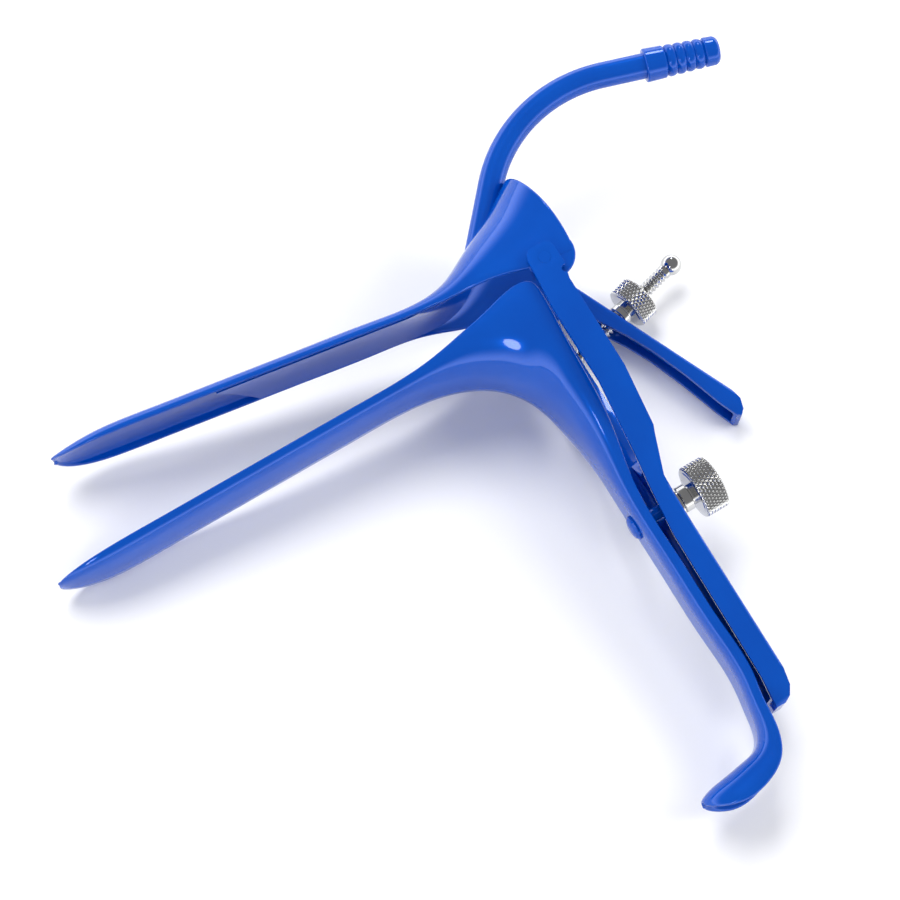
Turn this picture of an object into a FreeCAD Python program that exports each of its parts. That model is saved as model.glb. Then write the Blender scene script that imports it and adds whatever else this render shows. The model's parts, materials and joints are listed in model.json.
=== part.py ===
import FreeCAD, Part
import math
import os

import Sketcher
from FreeCAD import Placement, Rotation, Vector

# A narrow bivalve speculum with a smoke tube, lying on its side.
# Millimetres. X runs back along the lower blade, Y up from the handle to the upper blade,
# Z across the instrument. The hinge of the upper blade is the origin of the drawing frame,
# and the last step lays the whole instrument on the table.

os.makedirs("parts", exist_ok=True)
doc = FreeCAD.newDocument("speculum")
sheet = doc.addObject("Spreadsheet::Sheet", "sizes")

# Driving sizes: name, millimetres or degrees, what it is
driving_sizes = [
    ("sheet_wall", 1.3, "coated sheet of both blades and the handle"),
    ("blade_half_width", 10.0, "half the width across a blade"),
    ("blade_depth", 3.8, "depth of a blade's trough"),
    ("blade_reach", 136.4, "from the hinge to the lower blade's tip"),
    ("tip_length", 19.0, "length over which a tip rounds off"),
    ("blade_squareness", 2.5, "how square the blade's trough is"),
    ("bell_half_width", 18.0, "half the width across the bell at the hinge"),
    ("lower_edge_level", -5.6, "height of the lower blade's edges"),
    ("bend_start", -46.0, "where the lower blade begins to bend"),
    ("handle_front", -12.6, "front face of the handle"),
    ("handle_half_width", 8.0, "half the width across the handle"),
    ("handle_depth", 3.8, "depth of the handle's channel"),
    ("handle_squareness", 4.2, "how square the handle's channel is"),
    ("hook_level", -117.3, "height at which the handle curls into its hook"),
    ("hook_depth", 7.6, "depth of the channel in the hook"),
    ("opening_angle", 8.5, "angle of the upper blade from closed, as it lies"),
    ("upper_edge_level", 1.9, "height of the upper blade's edges when closed"),
    ("upper_reach", 125.4, "from the hinge to the upper blade's tip"),
    ("rim_height", 27.9, "height of the bell's rim over the hinge"),
    ("ear_radius", 6.1, "round ear of the bell about the hinge"),
    ("ear_proud", 0.12, "how far an ear stands proud of the bell's wall"),
    ("ear_forward", 1.9, "ear centre behind the hinge"),
    ("ear_up", 1.1, "ear centre above the hinge"),
    ("arm_gap", 0.3, "gap between the bell and a yoke arm"),
    ("arm_wall", 2.0, "thickness of the yoke's sheet"),
    ("arm_front", -4.9, "front edge of the yoke's arms"),
    ("arm_rear", 2.3, "rear edge of the yoke's arms"),
    ("arm_top", 3.5, "top of the yoke's arms"),
    ("arm_straight_end", -32.0, "height down to which the arms stay parallel"),
    ("crotch_level", -50.0, "height at which the arms join into the spine"),
    ("spine_half_width", 8.2, "half the width across the yoke's spine"),
    ("spine_front", -7.2, "front edges of the spine's channel"),
    ("spine_rear", -1.7, "rear face of the spine"),
    ("spine_bottom", -116.3, "lower end of the spine"),
    ("notch_radius", 1.0, "small round notch in the rear edge of an arm"),
    ("notch_level", -4.8, "height of that notch"),
    ("pin_radius", 1.5, "hinge pin"),
    ("pin_head_radius", 2.5, "inner head of a hinge pin"),
    ("pin_head_height", 0.8, "height of that head"),
    ("pin_clearance", 0.08, "running clearance of a pin in its hole"),
    ("weld_gap", 0.25, "gap round a piece that is set into a wall"),
    ("seat_gap", 0.15, "gap left at a seat"),
    ("clamp_level", -62.8, "height of the clamp screw"),
    ("clamp_radius", 2.0, "clamp screw over its thread"),
    ("clamp_head_radius", 3.1, "domed head of the clamp screw"),
    ("clamp_head_height", 1.3, "height of that dome"),
    ("lift_range", 15.0, "travel of the yoke up the handle"),
    ("lower_range", 0.6, "travel of the yoke down the handle"),
    ("clamp_washer_radius", 4.1, "washer under the clamp nut"),
    ("clamp_washer_height", 1.1, "thickness of that washer"),
    ("clamp_nut_radius", 6.7, "knurled disc of the clamp nut"),
    ("clamp_nut_height", 6.4, "length of that disc"),
    ("clamp_hub_radius", 3.3, "smooth hub of the clamp nut"),
    ("clamp_hub_height", 2.6, "length of that hub"),
    ("neck_radius", 2.6, "neck between hub and disc"),
    ("neck_height", 1.2, "length of that neck"),
    ("nut_chamfer", 0.4, "chamfer at the ends of a knurled disc"),
    ("rod_foot_x", -7.4, "rod's swivel before the hinge"),
    ("rod_foot_y", -17.3, "rod's swivel below the hinge"),
    ("rod_lean", 15.0, "angle of the rod above the blade line, as it lies"),
    ("rod_radius", 1.9, "adjusting rod over its thread"),
    ("rod_length", 45.0, "from the swivel to the ball's centre"),
    ("rod_standoff", 4.8, "how far the rod's axis stands off the bell's widest place"),
    ("eye_radius", 3.3, "flat eye at the rod's foot"),
    ("eye_height", 2.6, "thickness of that eye"),
    ("ball_radius", 2.5, "ball on the rod's end"),
    ("rod_pin_radius", 1.3, "rivet through the rod's eye"),
    ("ear_lug_radius", 4.0, "round end of the yoke's lug for the rod"),
    ("adjusting_nut_radius", 5.9, "knurled disc of the adjusting nut"),
    ("adjusting_nut_height", 5.5, "length of that disc"),
    ("adjusting_hub_radius", 2.95, "smooth hub of the adjusting nut"),
    ("adjusting_hub_height", 1.9, "length of that hub"),
    ("adjusting_seat", 25.2, "from the swivel to the nut's bearing face"),
    ("hub_nose", 0.7, "rounding of the hub where it bears on the lever"),
    ("lever_root_x", 10.2, "root of the lever behind the hinge, blade closed"),
    ("lever_root_y", 3.7, "root of the lever above the hinge, blade closed"),
    ("lever_slope", -57.4, "slope of the lever, blade closed"),
    ("lever_length", 54.2, "length of the lever from its root"),
    ("lever_depth", 5.2, "depth of the lever's channel at both ends"),
    ("lever_waist", 3.0, "depth of the channel at its shallowest"),
    ("lever_width", 9.5, "width across the lever"),
    ("lever_wall", 1.3, "sheet of the lever"),
    ("lever_curl", 6.0, "length over which the lever's end curls over"),
    ("strap_length", 10.0, "strap of the lever on the bell"),
    ("lever_hole_radius", 2.9, "hole in the lever for the rod"),
    ("rivet_radius", 1.1, "rivet of the lever's strap"),
    ("rivet_head_radius", 1.7, "head of that rivet"),
    ("rivet_head_height", 0.5, "height of that head"),
    ("rivet_inset", 1.25, "how far the inner heads stand off the bell's widest place"),
    ("channel_wall", 0.7, "cover sheet of the smoke channel"),
    ("channel_mouth", -86.0, "forward end of the smoke channel"),
    ("channel_slant", 31.0, "slant of the channel's cut mouth"),
    ("tube_radius", 3.25, "outside of the smoke tube"),
    ("tube_bore_radius", 2.45, "bore of the smoke tube"),
    ("tube_foot_x", -12.6, "lower end of the tube's centre line"),
    ("tube_foot_y", 11.4, "height of that end"),
    ("tube_rise_angle", 57.0, "slope at which the tube leaves the bell"),
    ("tube_rise", 21.0, "straight length at that slope"),
    ("tube_bend_radius", 37.0, "radius of the tube's long bend"),
    ("tube_fall_angle", 9.0, "slope of the tube beyond the bend"),
    ("tube_run", 10.8, "straight length beyond the bend"),
    ("barb_radius", 4.3, "sleeve and ridges of the hose barb"),
    ("barb_root_radius", 3.6, "barb between its ridges"),
    ("barb_bore_radius", 2.0, "bore of the hose barb"),
    ("barb_sleeve", 5.6, "plain sleeve of the hose barb"),
    ("barb_pitch", 2.45, "pitch of the ridges"),
    ("barb_taper", 0.1, "how much each ridge is smaller in radius than the one before"),
    ("rest_pitch", -8.2, "lengthwise tilt as it lies"),
    ("rest_roll", 4.8, "tilt along the handle as it lies"),
]
for row, (name, number, note) in enumerate(driving_sizes, start=1):
    sheet.set("A%d" % row, name)
    sheet.set("B%d" % row, str(number))
    sheet.setAlias("B%d" % row, name)
    sheet.set("C%d" % row, note)
doc.recompute()


def value(text):
    """Number that an expression on the sheet gives."""
    result = sheet.evalExpression(text)
    return float(getattr(result, "Value", result))


def size(name):
    return value("sizes." + name)


# Shared helpers


def origin_plane(body, role):
    return [item for item in body.Origin.OriginFeatures if item.Role == role][0]


def outline(body, name, role, corners, offset=None):
    """Closed outline of straight edges, each corner bound to the sheet."""
    sketch = body.newObject("Sketcher::SketchObject", name)
    sketch.AttachmentSupport = [(origin_plane(body, role), "")]
    sketch.MapMode = "FlatFace"
    if offset:
        sketch.setExpression(".AttachmentOffset.Base.z", offset)
    spots = [Vector(value(across), value(up), 0) for across, up in corners]
    count = len(spots)
    for index, spot in enumerate(spots):
        sketch.addGeometry(Part.LineSegment(spot, spots[(index + 1) % count]), False)
    for index in range(count):
        sketch.addConstraint(Sketcher.Constraint("Coincident", index, 2, (index + 1) % count, 1))
    for index, (across, up) in enumerate(corners):
        for kind, text, number in (("DistanceX", across, spots[index].x), ("DistanceY", up, spots[index].y)):
            place = sketch.addConstraint(Sketcher.Constraint(kind, -1, 1, index, 1, number))
            sketch.setExpression("Constraints[%d]" % place, text)
    return sketch


def pad(body, name, sketch, length, midplane=False, reverse=False):
    feature = body.newObject("PartDesign::Pad", name)
    feature.Profile = sketch
    feature.setExpression("Length", length)
    feature.Midplane = midplane
    feature.Reversed = reverse
    return feature


def pocket(body, name, sketch, length, midplane=False, reverse=False):
    """Pocket that has to take metal away."""
    doc.recompute()
    before = body.Shape.Volume
    feature = body.newObject("PartDesign::Pocket", name)
    feature.Profile = sketch
    feature.setExpression("Length", length)
    feature.Midplane = midplane
    feature.Reversed = reverse
    doc.recompute()
    if body.Shape.Volume >= before:
        raise RuntimeError("%s cuts nothing" % name)
    return feature


def turned(name, corners):
    """Piece turned about its own X axis."""
    body = doc.addObject("PartDesign::Body", name)
    profile = outline(body, name + "_profile", "XY_Plane", corners)
    feature = body.newObject("PartDesign::Revolution", name + "_turned")
    feature.Profile = profile
    feature.ReferenceAxis = (profile, ["H_Axis"])
    feature.Angle = 360
    doc.recompute()
    return body


def round_edges(body, name, radius, wanted):
    """Fillet on the edges of a body that pass a test."""
    doc.recompute()
    base = body.Tip
    names = []
    for index, edge in enumerate(base.Shape.Edges, start=1):
        if wanted(edge):
            names.append("Edge%d" % index)
    feature = body.newObject("PartDesign::Fillet", name)
    feature.Base = (base, names)
    feature.setExpression("Radius", radius)
    doc.recompute()
    return feature


def plain_feature(name, shape):
    feature = doc.addObject("Part::Feature", name)
    feature.Shape = shape
    return feature


# Troughs: a blade or a handle is a sheet trough that runs past a row of stations


def station(floor, rim, half_width, squareness, draw=None, shift=(0, 0, 0), bow=0.0):
    """One place along a trough; draw and shift say how the inner face leaves the outer one there,
    bow how far the rib swells towards X between its floor and its rims."""
    return {
        "floor": Vector(*floor),
        "rim": Vector(*rim),
        "half": half_width,
        "square": squareness,
        "draw": wall if draw is None else draw,
        "shift": Vector(*shift),
        "bow": bow,
    }


wall = size("sheet_wall")
trough_steps = 8
fine_steps = 240


def curve_through(spots, shares):
    curve = Part.BSplineCurve()
    curve.interpolate(spots, Parameters=shares)
    return curve


def rib(place, inside):
    """Superellipse from rim to rim: across is half * cos^(2/n), depth falls as sin^(2/n)."""
    inward = (place["rim"] - place["floor"]).normalize()
    depth = (place["rim"] - place["floor"]).Length
    draw = place["draw"] if inside else 0.0
    start = place["floor"] + (place["shift"] if inside else Vector())
    power = 2.0 / place["square"]
    fine = []
    for step in range(fine_steps + 1):
        turn = math.pi * step / fine_steps
        cosine = math.cos(turn)
        across = math.copysign(abs(cosine) ** power, cosine) * (place["half"] - draw)
        rise = depth - (depth - draw) * abs(math.sin(turn)) ** power
        swell = 4.0 * place["bow"] * (rise / depth) * (1.0 - rise / depth)
        fine.append(start + inward * rise + Vector(swell, 0, across))
    lengths = [0.0]
    for before, after in zip(fine, fine[1:]):
        lengths.append(lengths[-1] + (after - before).Length)
    spots = []
    for step in range(trough_steps + 1):
        wanted = lengths[-1] * step / trough_steps
        index = min(range(len(lengths)), key=lambda item: abs(lengths[item] - wanted))
        spots.append(fine[index])
    return spots


def skin(rows, along, inside):
    """Smooth surface through the ribs of a trough, lengthwise places given by along."""
    across = [step / trough_steps for step in range(trough_steps + 1)]
    ribs = [curve_through(rib(row, inside), across) for row in rows]
    poles = [curve.getPoles() for curve in ribs]
    lines = [curve_through([row[index] for row in poles], along) for index in range(len(poles[0]))]
    grid = [list(column) for column in zip(*[line.getPoles() for line in lines])]
    surface = Part.BSplineSurface()
    surface.buildFromPolesMultsKnots(
        grid,
        lines[0].getMultiplicities(),
        ribs[0].getMultiplicities(),
        lines[0].getKnots(),
        ribs[0].getKnots(),
        False,
        False,
        lines[0].Degree,
        ribs[0].Degree,
    )
    return surface


def trough_shell(rows):
    """Outer and inner skin joined by a flat lip on every side."""
    outer_ribs = [rib(row, False) for row in rows]
    spans = [0.0]
    for before, after in zip(outer_ribs, outer_ribs[1:]):
        spans.append(spans[-1] + sum((b - a).Length for a, b in zip(before, after)))
    along = [span / spans[-1] for span in spans]
    outer = skin(rows, along, False)
    inner = skin(rows, along, True)
    faces = [outer.toShape(), inner.toShape()]
    for end in (0.0, 1.0):
        faces.append(Part.makeRuledSurface(outer.uIso(end).toShape(), inner.uIso(end).toShape()))
        faces.append(Part.makeRuledSurface(outer.vIso(end).toShape(), inner.vIso(end).toShape()))
    joined = Part.makeCompound(faces)
    joined.sewShape(1e-4)
    solid = Part.Solid(joined.Shells[0])
    if solid.Volume < 0:
        solid.reverse()
    return solid


def loft(sections):
    return Part.makeLoft(sections, True, False)


def mix(low, high, share):
    return low + (high - low) * share


def tip_stations(reach, edge_level, inward_sign, depth, squareness, turn_up):
    """Stations of a blade's rounded tip, from the very end inwards."""
    length = size("tip_length")
    half = size("blade_half_width")
    rows = []
    for share in (0.01, 0.06, 0.18, 0.38, 0.66, 1.0):
        along = -reach + length * share
        fullness = math.sqrt(1.0 - (1.0 - share) ** 2)
        normal = Vector((1.0 - share) / length, fullness / half, 0).normalize() * wall
        rim = edge_level + turn_up * depth * (1.0 - fullness) ** 1.5
        floor = rim - inward_sign * depth * (0.22 + 0.78 * fullness) * (0.35 + 0.65 * fullness)
        spot = (along, floor, 0)
        width = half * fullness
        rows.append(station(spot, (along, rim, 0), width, squareness, normal.y, (normal.x, 0, 0)))
    return rows


# Lower blade, bend and handle: one pressing


def lower_stations():
    edge = size("lower_edge_level")
    floor = edge - size("blade_depth")
    start = size("bend_start")
    front = size("handle_front")
    run = front - start
    half = size("blade_half_width")
    bell = size("bell_half_width") - 0.2
    grip = size("handle_half_width")
    square = size("blade_squareness")
    grip_square = size("handle_squareness")
    rear = front + size("handle_depth")
    rows = tip_stations(size("blade_reach"), edge, 1.0, size("blade_depth"), square, 0.1)
    for share in (0.12, 0.35, 0.62, 0.86):
        along = mix(-size("blade_reach") + size("tip_length"), start, share)
        rows.append(station((along, floor, 0), (along, edge, 0), half, square))
    rows.append(station((start, floor - 0.1, 0), (start, edge, 0), half, square))
    # share of the run, floor level, rim before the hinge, rim level, share of the flare, squareness
    bend = [
        (0.300, -10.6, -35.0, edge + 0.4, 0.16, 2.4),
        (0.524, -13.0, -25.5, edge + 1.6, 0.44, 2.3),
        (0.689, -16.3, -16.5, edge + 3.1, 0.72, 2.3),
        (0.808, -20.6, -8.5, edge + 4.2, 0.94, 2.3),
        (0.853, -23.0, -5.9, edge + 3.0, 1.00, 2.3),
        (0.889, -25.6, -5.5, edge - 0.9, 1.00, 2.3),
    ]
    for share, level, rim_x, rim_level, flare, squareness in bend:
        spot = (start + run * share, level, 0)
        rows.append(station(spot, (rim_x, rim_level, 0), mix(half, bell, flare), squareness))
    throat = [
        (0.940, -31.5, -5.4, -20.0, 0.92, 2.3),
        (0.976, -38.5, -5.6, -33.0, 0.66, 2.4),
        (0.997, -46.0, -6.6, -44.0, 0.30, 2.8),
        (1.000, -53.0, -8.0, -52.5, 0.08, 3.5),
    ]
    for share, level, rim_x, rim_level, flare, squareness in throat:
        spot = (start + run * share, level, 0)
        rows.append(station(spot, (rim_x, rim_level, 0), mix(grip, bell, flare), squareness))
    for height in (-61.0, -76.0, -92.0, -107.0):
        rows.append(station((front, height, 0), (rear, height, 0), grip, grip_square))
    level = size("hook_level")
    depth = size("hook_depth")
    # floor place and drop, heading of the channel's opening, share of its depth and width, squareness,
    # share of the wall by which the inner face draws in
    hook = [
        (-1.1, 4.0, -2.0, 0.49, 1.00, 3.8, 1.0),
        (-2.2, -0.8, -22.0, 0.58, 1.00, 3.4, 1.0),
        (-4.6, -4.1, -50.0, 0.78, 1.01, 3.0, 1.0),
        (-9.0, -5.3, -73.0, 0.97, 1.04, 2.8, 1.0),
        (-13.6, -6.0, -85.0, 0.96, 1.02, 2.6, 1.0),
        (-17.4, -6.5, -91.0, 0.74, 0.84, 2.4, 0.9),
        (-20.2, -7.3, -95.0, 0.42, 0.54, 2.3, 0.6),
        (-21.6, -8.2, -98.0, 0.12, 0.16, 2.2, 0.25),
    ]
    for across, drop, heading, share, width, squareness, thin in hook:
        spot = Vector(front + across, level + drop, 0)
        turn = math.radians(heading)
        rim = spot + Vector(math.cos(turn), math.sin(turn), 0) * depth * share
        back = wall * math.sqrt(1.0 - thin**2)
        half_width = grip * width
        rows.append(station(tuple(spot), tuple(rim), half_width, squareness, wall * thin, (back, 0, 0)))
    return rows


lower_shape = trough_shell(lower_stations())
# square hole that holds the clamp screw's neck
neck_side = 2 * (size("clamp_radius") + size("pin_clearance"))
neck_hole = Part.makeBox(6.0, neck_side, neck_side)
neck_hole.translate(Vector(size("handle_front") - 3.0, size("clamp_level") - neck_side / 2, -neck_side / 2))
lower_blade = plain_feature("lower_blade", lower_shape.cut(neck_hole))


# Upper blade with its bell, drawn closed


def upper_stations():
    edge = size("upper_edge_level")
    depth = size("blade_depth")
    roof = edge + depth
    half = size("blade_half_width")
    bell = size("bell_half_width")
    square = size("blade_squareness")
    rows = tip_stations(size("upper_reach"), edge, -1.0, depth, square, 0.55)
    root = -33.0
    for share in (0.12, 0.35, 0.62, 0.86, 1.0):
        along = mix(-size("upper_reach") + size("tip_length"), root, share)
        rows.append(station((along, roof, 0), (along, edge, 0), half, square))
    # roof place, share of the rim's height over the roof, rim place, edge drop, flare, bow
    bell_rows = [
        (-27.0, 0.04, -26.5, 0.3, 0.22, 0.0),
        (-22.0, 0.13, -20.5, 0.7, 0.55, 0.0),
        (-17.2, 0.29, -14.5, 0.9, 0.80, 0.2),
        (-12.0, 0.465, -8.5, 1.5, 0.95, 0.5),
        (-6.5, 0.645, -3.0, 2.4, 1.00, 0.8),
        (-2.4, 0.82, 2.7, 2.4, 1.00, 1.2),
        (1.9, 1.0, 7.5, 2.2, 1.00, 1.7),
    ]
    top = size("rim_height")
    for roof_x, rise, rim_x, drop, flare, bow in bell_rows:
        spot = (roof_x, mix(roof, top, rise), 0)
        rows.append(station(spot, (rim_x, edge - drop, 0), mix(half, bell, flare), 2.3, bow=bow))
    return rows


upper_shape = trough_shell(upper_stations())
bell_half = size("bell_half_width")
ear_centre = Vector(size("ear_forward"), size("ear_up"), 0)
ear_out = bell_half + size("ear_proud")
ear_wall = wall + 2 * size("ear_proud")
for face in (-ear_out, ear_out - ear_wall):
    ear = Part.makeCylinder(size("ear_radius"), ear_wall, ear_centre + Vector(0, 0, face))
    upper_shape = upper_shape.fuse(ear)
hole_radius = size("pin_radius") + size("pin_clearance")
upper_shape = upper_shape.cut(
    Part.makeCylinder(hole_radius, 4 * bell_half, Vector(0, 0, -2 * bell_half))
)
rise_turn = math.radians(size("tube_rise_angle"))
tube_heading = Vector(math.cos(rise_turn), math.sin(rise_turn), 0)
tube_foot = Vector(size("tube_foot_x"), size("tube_foot_y"), 0)
tube_hole = Part.makeCylinder(
    size("tube_radius") + size("weld_gap"), size("tube_rise"), tube_foot, tube_heading
)
upper_shape = upper_shape.cut(tube_hole)


# Lever strap rivets pass through the far wall of the bell

lever_turn = Rotation(Vector(0, 0, 1), size("lever_slope"))
lever_root = Vector(size("lever_root_x"), size("lever_root_y"), 0)
lever_frame = Placement(lever_root, lever_turn)
rivet_spots = [
    lever_frame.multVec(Vector(-size("strap_length") * share, -size("lever_depth") / 2, 0))
    for share in (0.28, 0.72)
]
for spot in rivet_spots:
    drill = Part.makeCylinder(
        size("rivet_radius") + size("weld_gap"), 3 * wall, spot - Vector(0, 0, bell_half + wall)
    )
    upper_shape = upper_shape.cut(drill)
upper_blade = plain_feature("upper_blade", upper_shape.removeSplitter())


# Smoke channel: a thin cover across the upper blade's trough

def channel_wire(place, half, edge, crown, thickness):
    """Flat arch from wall to wall and the same arch one sheet lower."""
    lines = []
    for lift in (thickness, 0.0):
        spots = []
        for step in range(cover_steps + 1):
            share = -1.0 + 2.0 * step / cover_steps
            rise = crown * (1.0 - share * share)
            spots.append(Vector(place, edge + rise + lift, half * share))
        curve = curve_through(spots, [step / cover_steps for step in range(cover_steps + 1)])
        lines.append((curve.toShape(), spots))
    (upper, high), (lower, low) = lines
    return Part.Wire([upper, Part.makeLine(high[-1], low[-1]), lower, Part.makeLine(low[0], high[0])])


cover = size("channel_wall")
cover_steps = 4
inner_half = size("blade_half_width") - wall
edge_level = size("upper_edge_level")
straight_rows = (size("channel_mouth") - 6.0, -84.0, -76.0, -68.0, -60.0, -52.0, -45.0, -39.0)
cover_rows = [(along, inner_half - 0.65, edge_level, 0.35) for along in straight_rows]
cover_rows += [
    (-34.0, inner_half - 0.6, edge_level, 0.45),
    (-27.5, inner_half + 0.4, edge_level + 0.5, 0.9),
    (-21.0, inner_half + 0.9, edge_level + 2.2, 1.6),
    (-15.5, inner_half - 0.2, edge_level + 5.8, 2.2),
    (-11.2, inner_half - 3.0, edge_level + 8.6, 1.8),
]
cover_shape = loft([channel_wire(place, half, edge, crown, cover) for place, half, edge, crown in cover_rows])
mouth_box = Part.makeBox(40.0, 40.0, 80.0, Vector(-40.0, -20.0, -40.0))
mouth_box.rotate(Vector(), Vector(0, 1, 0), -size("channel_slant"))
mouth_box.translate(Vector(size("channel_mouth") + 8.0, edge_level, 0))
cover_shape = cover_shape.cut(mouth_box)
foot_clear = Part.makeCylinder(
    size("tube_radius") + size("seat_gap"), size("tube_rise"), tube_foot, tube_heading
)
cover_shape = cover_shape.cut(foot_clear)
smoke_channel = plain_feature("smoke_channel", cover_shape)


# Smoke tube: straight rise, one long bend and a short run, swept as a ring

smoke_tube = doc.addObject("PartDesign::Body", "smoke_tube")
bend_radius = size("tube_bend_radius")
fall_turn = math.radians(-size("tube_fall_angle"))
bend_begin = tube_foot + tube_heading * size("tube_rise")
bend_centre = bend_begin + Vector(math.sin(rise_turn), -math.cos(rise_turn), 0) * bend_radius
bend_end = bend_centre + Vector(-math.sin(fall_turn), math.cos(fall_turn), 0) * bend_radius
middle_turn = (rise_turn + fall_turn) / 2
bend_middle = bend_centre + Vector(-math.sin(middle_turn), math.cos(middle_turn), 0) * bend_radius
run_heading = Vector(math.cos(fall_turn), math.sin(fall_turn), 0)
tube_end = bend_end + run_heading * size("tube_run")
tube_line = smoke_tube.newObject("Sketcher::SketchObject", "tube_line")
tube_line.AttachmentSupport = [(origin_plane(smoke_tube, "XY_Plane"), "")]
tube_line.MapMode = "FlatFace"
tube_line.addGeometry(Part.LineSegment(tube_foot, bend_begin), False)
tube_line.addGeometry(Part.Arc(bend_begin, bend_middle, bend_end), False)
tube_line.addGeometry(Part.LineSegment(bend_end, tube_end), False)
tube_ring = smoke_tube.newObject("Sketcher::SketchObject", "tube_ring")
tube_ring.AttachmentSupport = [(origin_plane(smoke_tube, "XY_Plane"), "")]
tube_ring.MapMode = "FlatFace"
tube_ring.AttachmentOffset = Placement(tube_foot, Rotation(Vector(0, 0, 1), tube_heading))
for index, name in enumerate(("tube_radius", "tube_bore_radius")):
    tube_ring.addGeometry(Part.Circle(Vector(), Vector(0, 0, 1), size(name)), False)
    tube_ring.addConstraint(Sketcher.Constraint("Coincident", index, 3, -1, 1))
    bound = tube_ring.addConstraint(Sketcher.Constraint("Radius", index, size(name)))
    tube_ring.setExpression("Constraints[%d]" % bound, "sizes." + name)
sweep = smoke_tube.newObject("PartDesign::AdditivePipe", "tube_sweep")
sweep.Profile = tube_ring
sweep.Spine = (tube_line, ["Edge1", "Edge2", "Edge3"])
doc.recompute()


# Hose barb: plain sleeve with a chamfered collar, then five rounded ridges

ridge_count = 5
barb_corners = [("0", "sizes.barb_bore_radius"), ("0", "sizes.barb_radius - 0.5"), ("0.5", "sizes.barb_radius")]
barb_corners.append(("sizes.barb_sleeve - 0.6", "sizes.barb_radius"))
barb_corners.append(("sizes.barb_sleeve", "sizes.barb_root_radius"))
for ridge in range(ridge_count):
    start = "sizes.barb_sleeve + %d * sizes.barb_pitch" % ridge
    crest = "sizes.barb_radius - %d * sizes.barb_taper" % ridge
    root = "sizes.barb_root_radius - %d * sizes.barb_taper" % ridge
    barb_corners.append((start + " + sizes.barb_pitch * 0.30", root))
    barb_corners.append((start + " + sizes.barb_pitch * 0.50", crest))
    barb_corners.append((start + " + sizes.barb_pitch * 0.75", crest))
    barb_corners.append((start + " + sizes.barb_pitch", root))
nose = "sizes.barb_sleeve + %d * sizes.barb_pitch" % ridge_count
barb_corners.append((nose + " + 0.8", "sizes.barb_root_radius - 5 * sizes.barb_taper"))
barb_corners.append((nose + " + 1.4", "sizes.barb_bore_radius + 0.3"))
barb_corners.append((nose + " + 1.4", "sizes.barb_bore_radius"))
barb_corners.append(("sizes.barb_sleeve", "sizes.barb_bore_radius"))
hose_barb = turned("hose_barb", barb_corners)
barb_frame = Placement(tube_end, Rotation(Vector(1, 0, 0), run_heading))


# Yoke: one pressing of two flat arms that run into a channel-shaped spine

yoke = doc.addObject("PartDesign::Body", "yoke")
arm_out = "(sizes.bell_half_width + sizes.arm_gap + sizes.arm_wall)"
side_corners = [
    ("sizes.arm_front + 2.6", "sizes.arm_top"),
    ("sizes.arm_rear - 0.5", "sizes.arm_top"),
    ("sizes.arm_rear + 0.7", "sizes.arm_top - 0.6"),
    ("sizes.arm_rear + 1.1", "sizes.arm_top - 1.8"),
    ("sizes.arm_rear + 1.1", "sizes.notch_level + 1.6"),
    ("sizes.arm_rear", "sizes.notch_level - 2.6"),
    ("sizes.arm_rear - 0.3", "sizes.crotch_level + 4"),
    ("sizes.spine_rear", "sizes.crotch_level - 7"),
    ("sizes.spine_rear - 0.6", "sizes.spine_bottom + 8"),
    ("sizes.spine_rear - 1.2", "sizes.spine_bottom + 3"),
    ("sizes.spine_rear - 2.4", "sizes.spine_bottom + 0.9"),
    ("sizes.spine_rear - 4", "sizes.spine_bottom"),
    ("sizes.spine_front - 0.9", "sizes.spine_bottom"),
    ("sizes.spine_front - 0.6", "sizes.spine_bottom + 16"),
    ("sizes.spine_front", "sizes.crotch_level - 20"),
    ("sizes.arm_front", "sizes.crotch_level + 2"),
    ("sizes.arm_front", "-12"),
    ("sizes.arm_front + 0.9", "-1"),
    ("sizes.arm_front + 1.1", "sizes.arm_top - 2"),
    ("sizes.arm_front + 1.6", "sizes.arm_top - 0.7"),
]
side_sketch = outline(yoke, "yoke_side", "XY_Plane", side_corners)
pad(yoke, "yoke_block", side_sketch, "2 * " + arm_out, midplane=True)
# outside of the arms as they draw in to the spine, near side and far side
for label, sign in (("near", ""), ("far", "-")):
    waste = [
        ("sizes.arm_straight_end", sign + arm_out),
        ("sizes.crotch_level + 2", sign + "(sizes.spine_half_width + 2.6)"),
        ("sizes.crotch_level - 8", sign + "(sizes.spine_half_width + 0.3)"),
        ("sizes.crotch_level - 20", sign + "sizes.spine_half_width"),
        ("sizes.spine_bottom + 8", sign + "(sizes.spine_half_width + 0.2)"),
        ("sizes.spine_bottom + 1.5", sign + "(sizes.spine_half_width - 2.6)"),
        ("sizes.spine_bottom - 5", sign + "(sizes.spine_half_width - 6)"),
        ("sizes.spine_bottom - 5", sign + "2 * " + arm_out),
        ("sizes.arm_straight_end", sign + "2 * " + arm_out),
    ]
    sketch = outline(yoke, "waste_" + label, "YZ_Plane", waste)
    pocket(yoke, "draw_in_" + label, sketch, "80", midplane=True)
# the space between the arms
between = [
    ("sizes.arm_top + 5", "%s(sizes.bell_half_width + sizes.arm_gap)"),
    ("sizes.arm_straight_end", "%s(sizes.bell_half_width + sizes.arm_gap)"),
    ("sizes.crotch_level + 2", "%s(sizes.spine_half_width + 0.5)"),
    ("sizes.crotch_level - 2", "%s(sizes.spine_half_width - 3.2)"),
]
loop = [(along, across % "") for along, across in between]
loop += [(along, across % "-") for along, across in reversed(between)]
sketch = outline(yoke, "between_arms", "YZ_Plane", loop)
pocket(yoke, "open_between_arms", sketch, "80", midplane=True)
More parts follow.
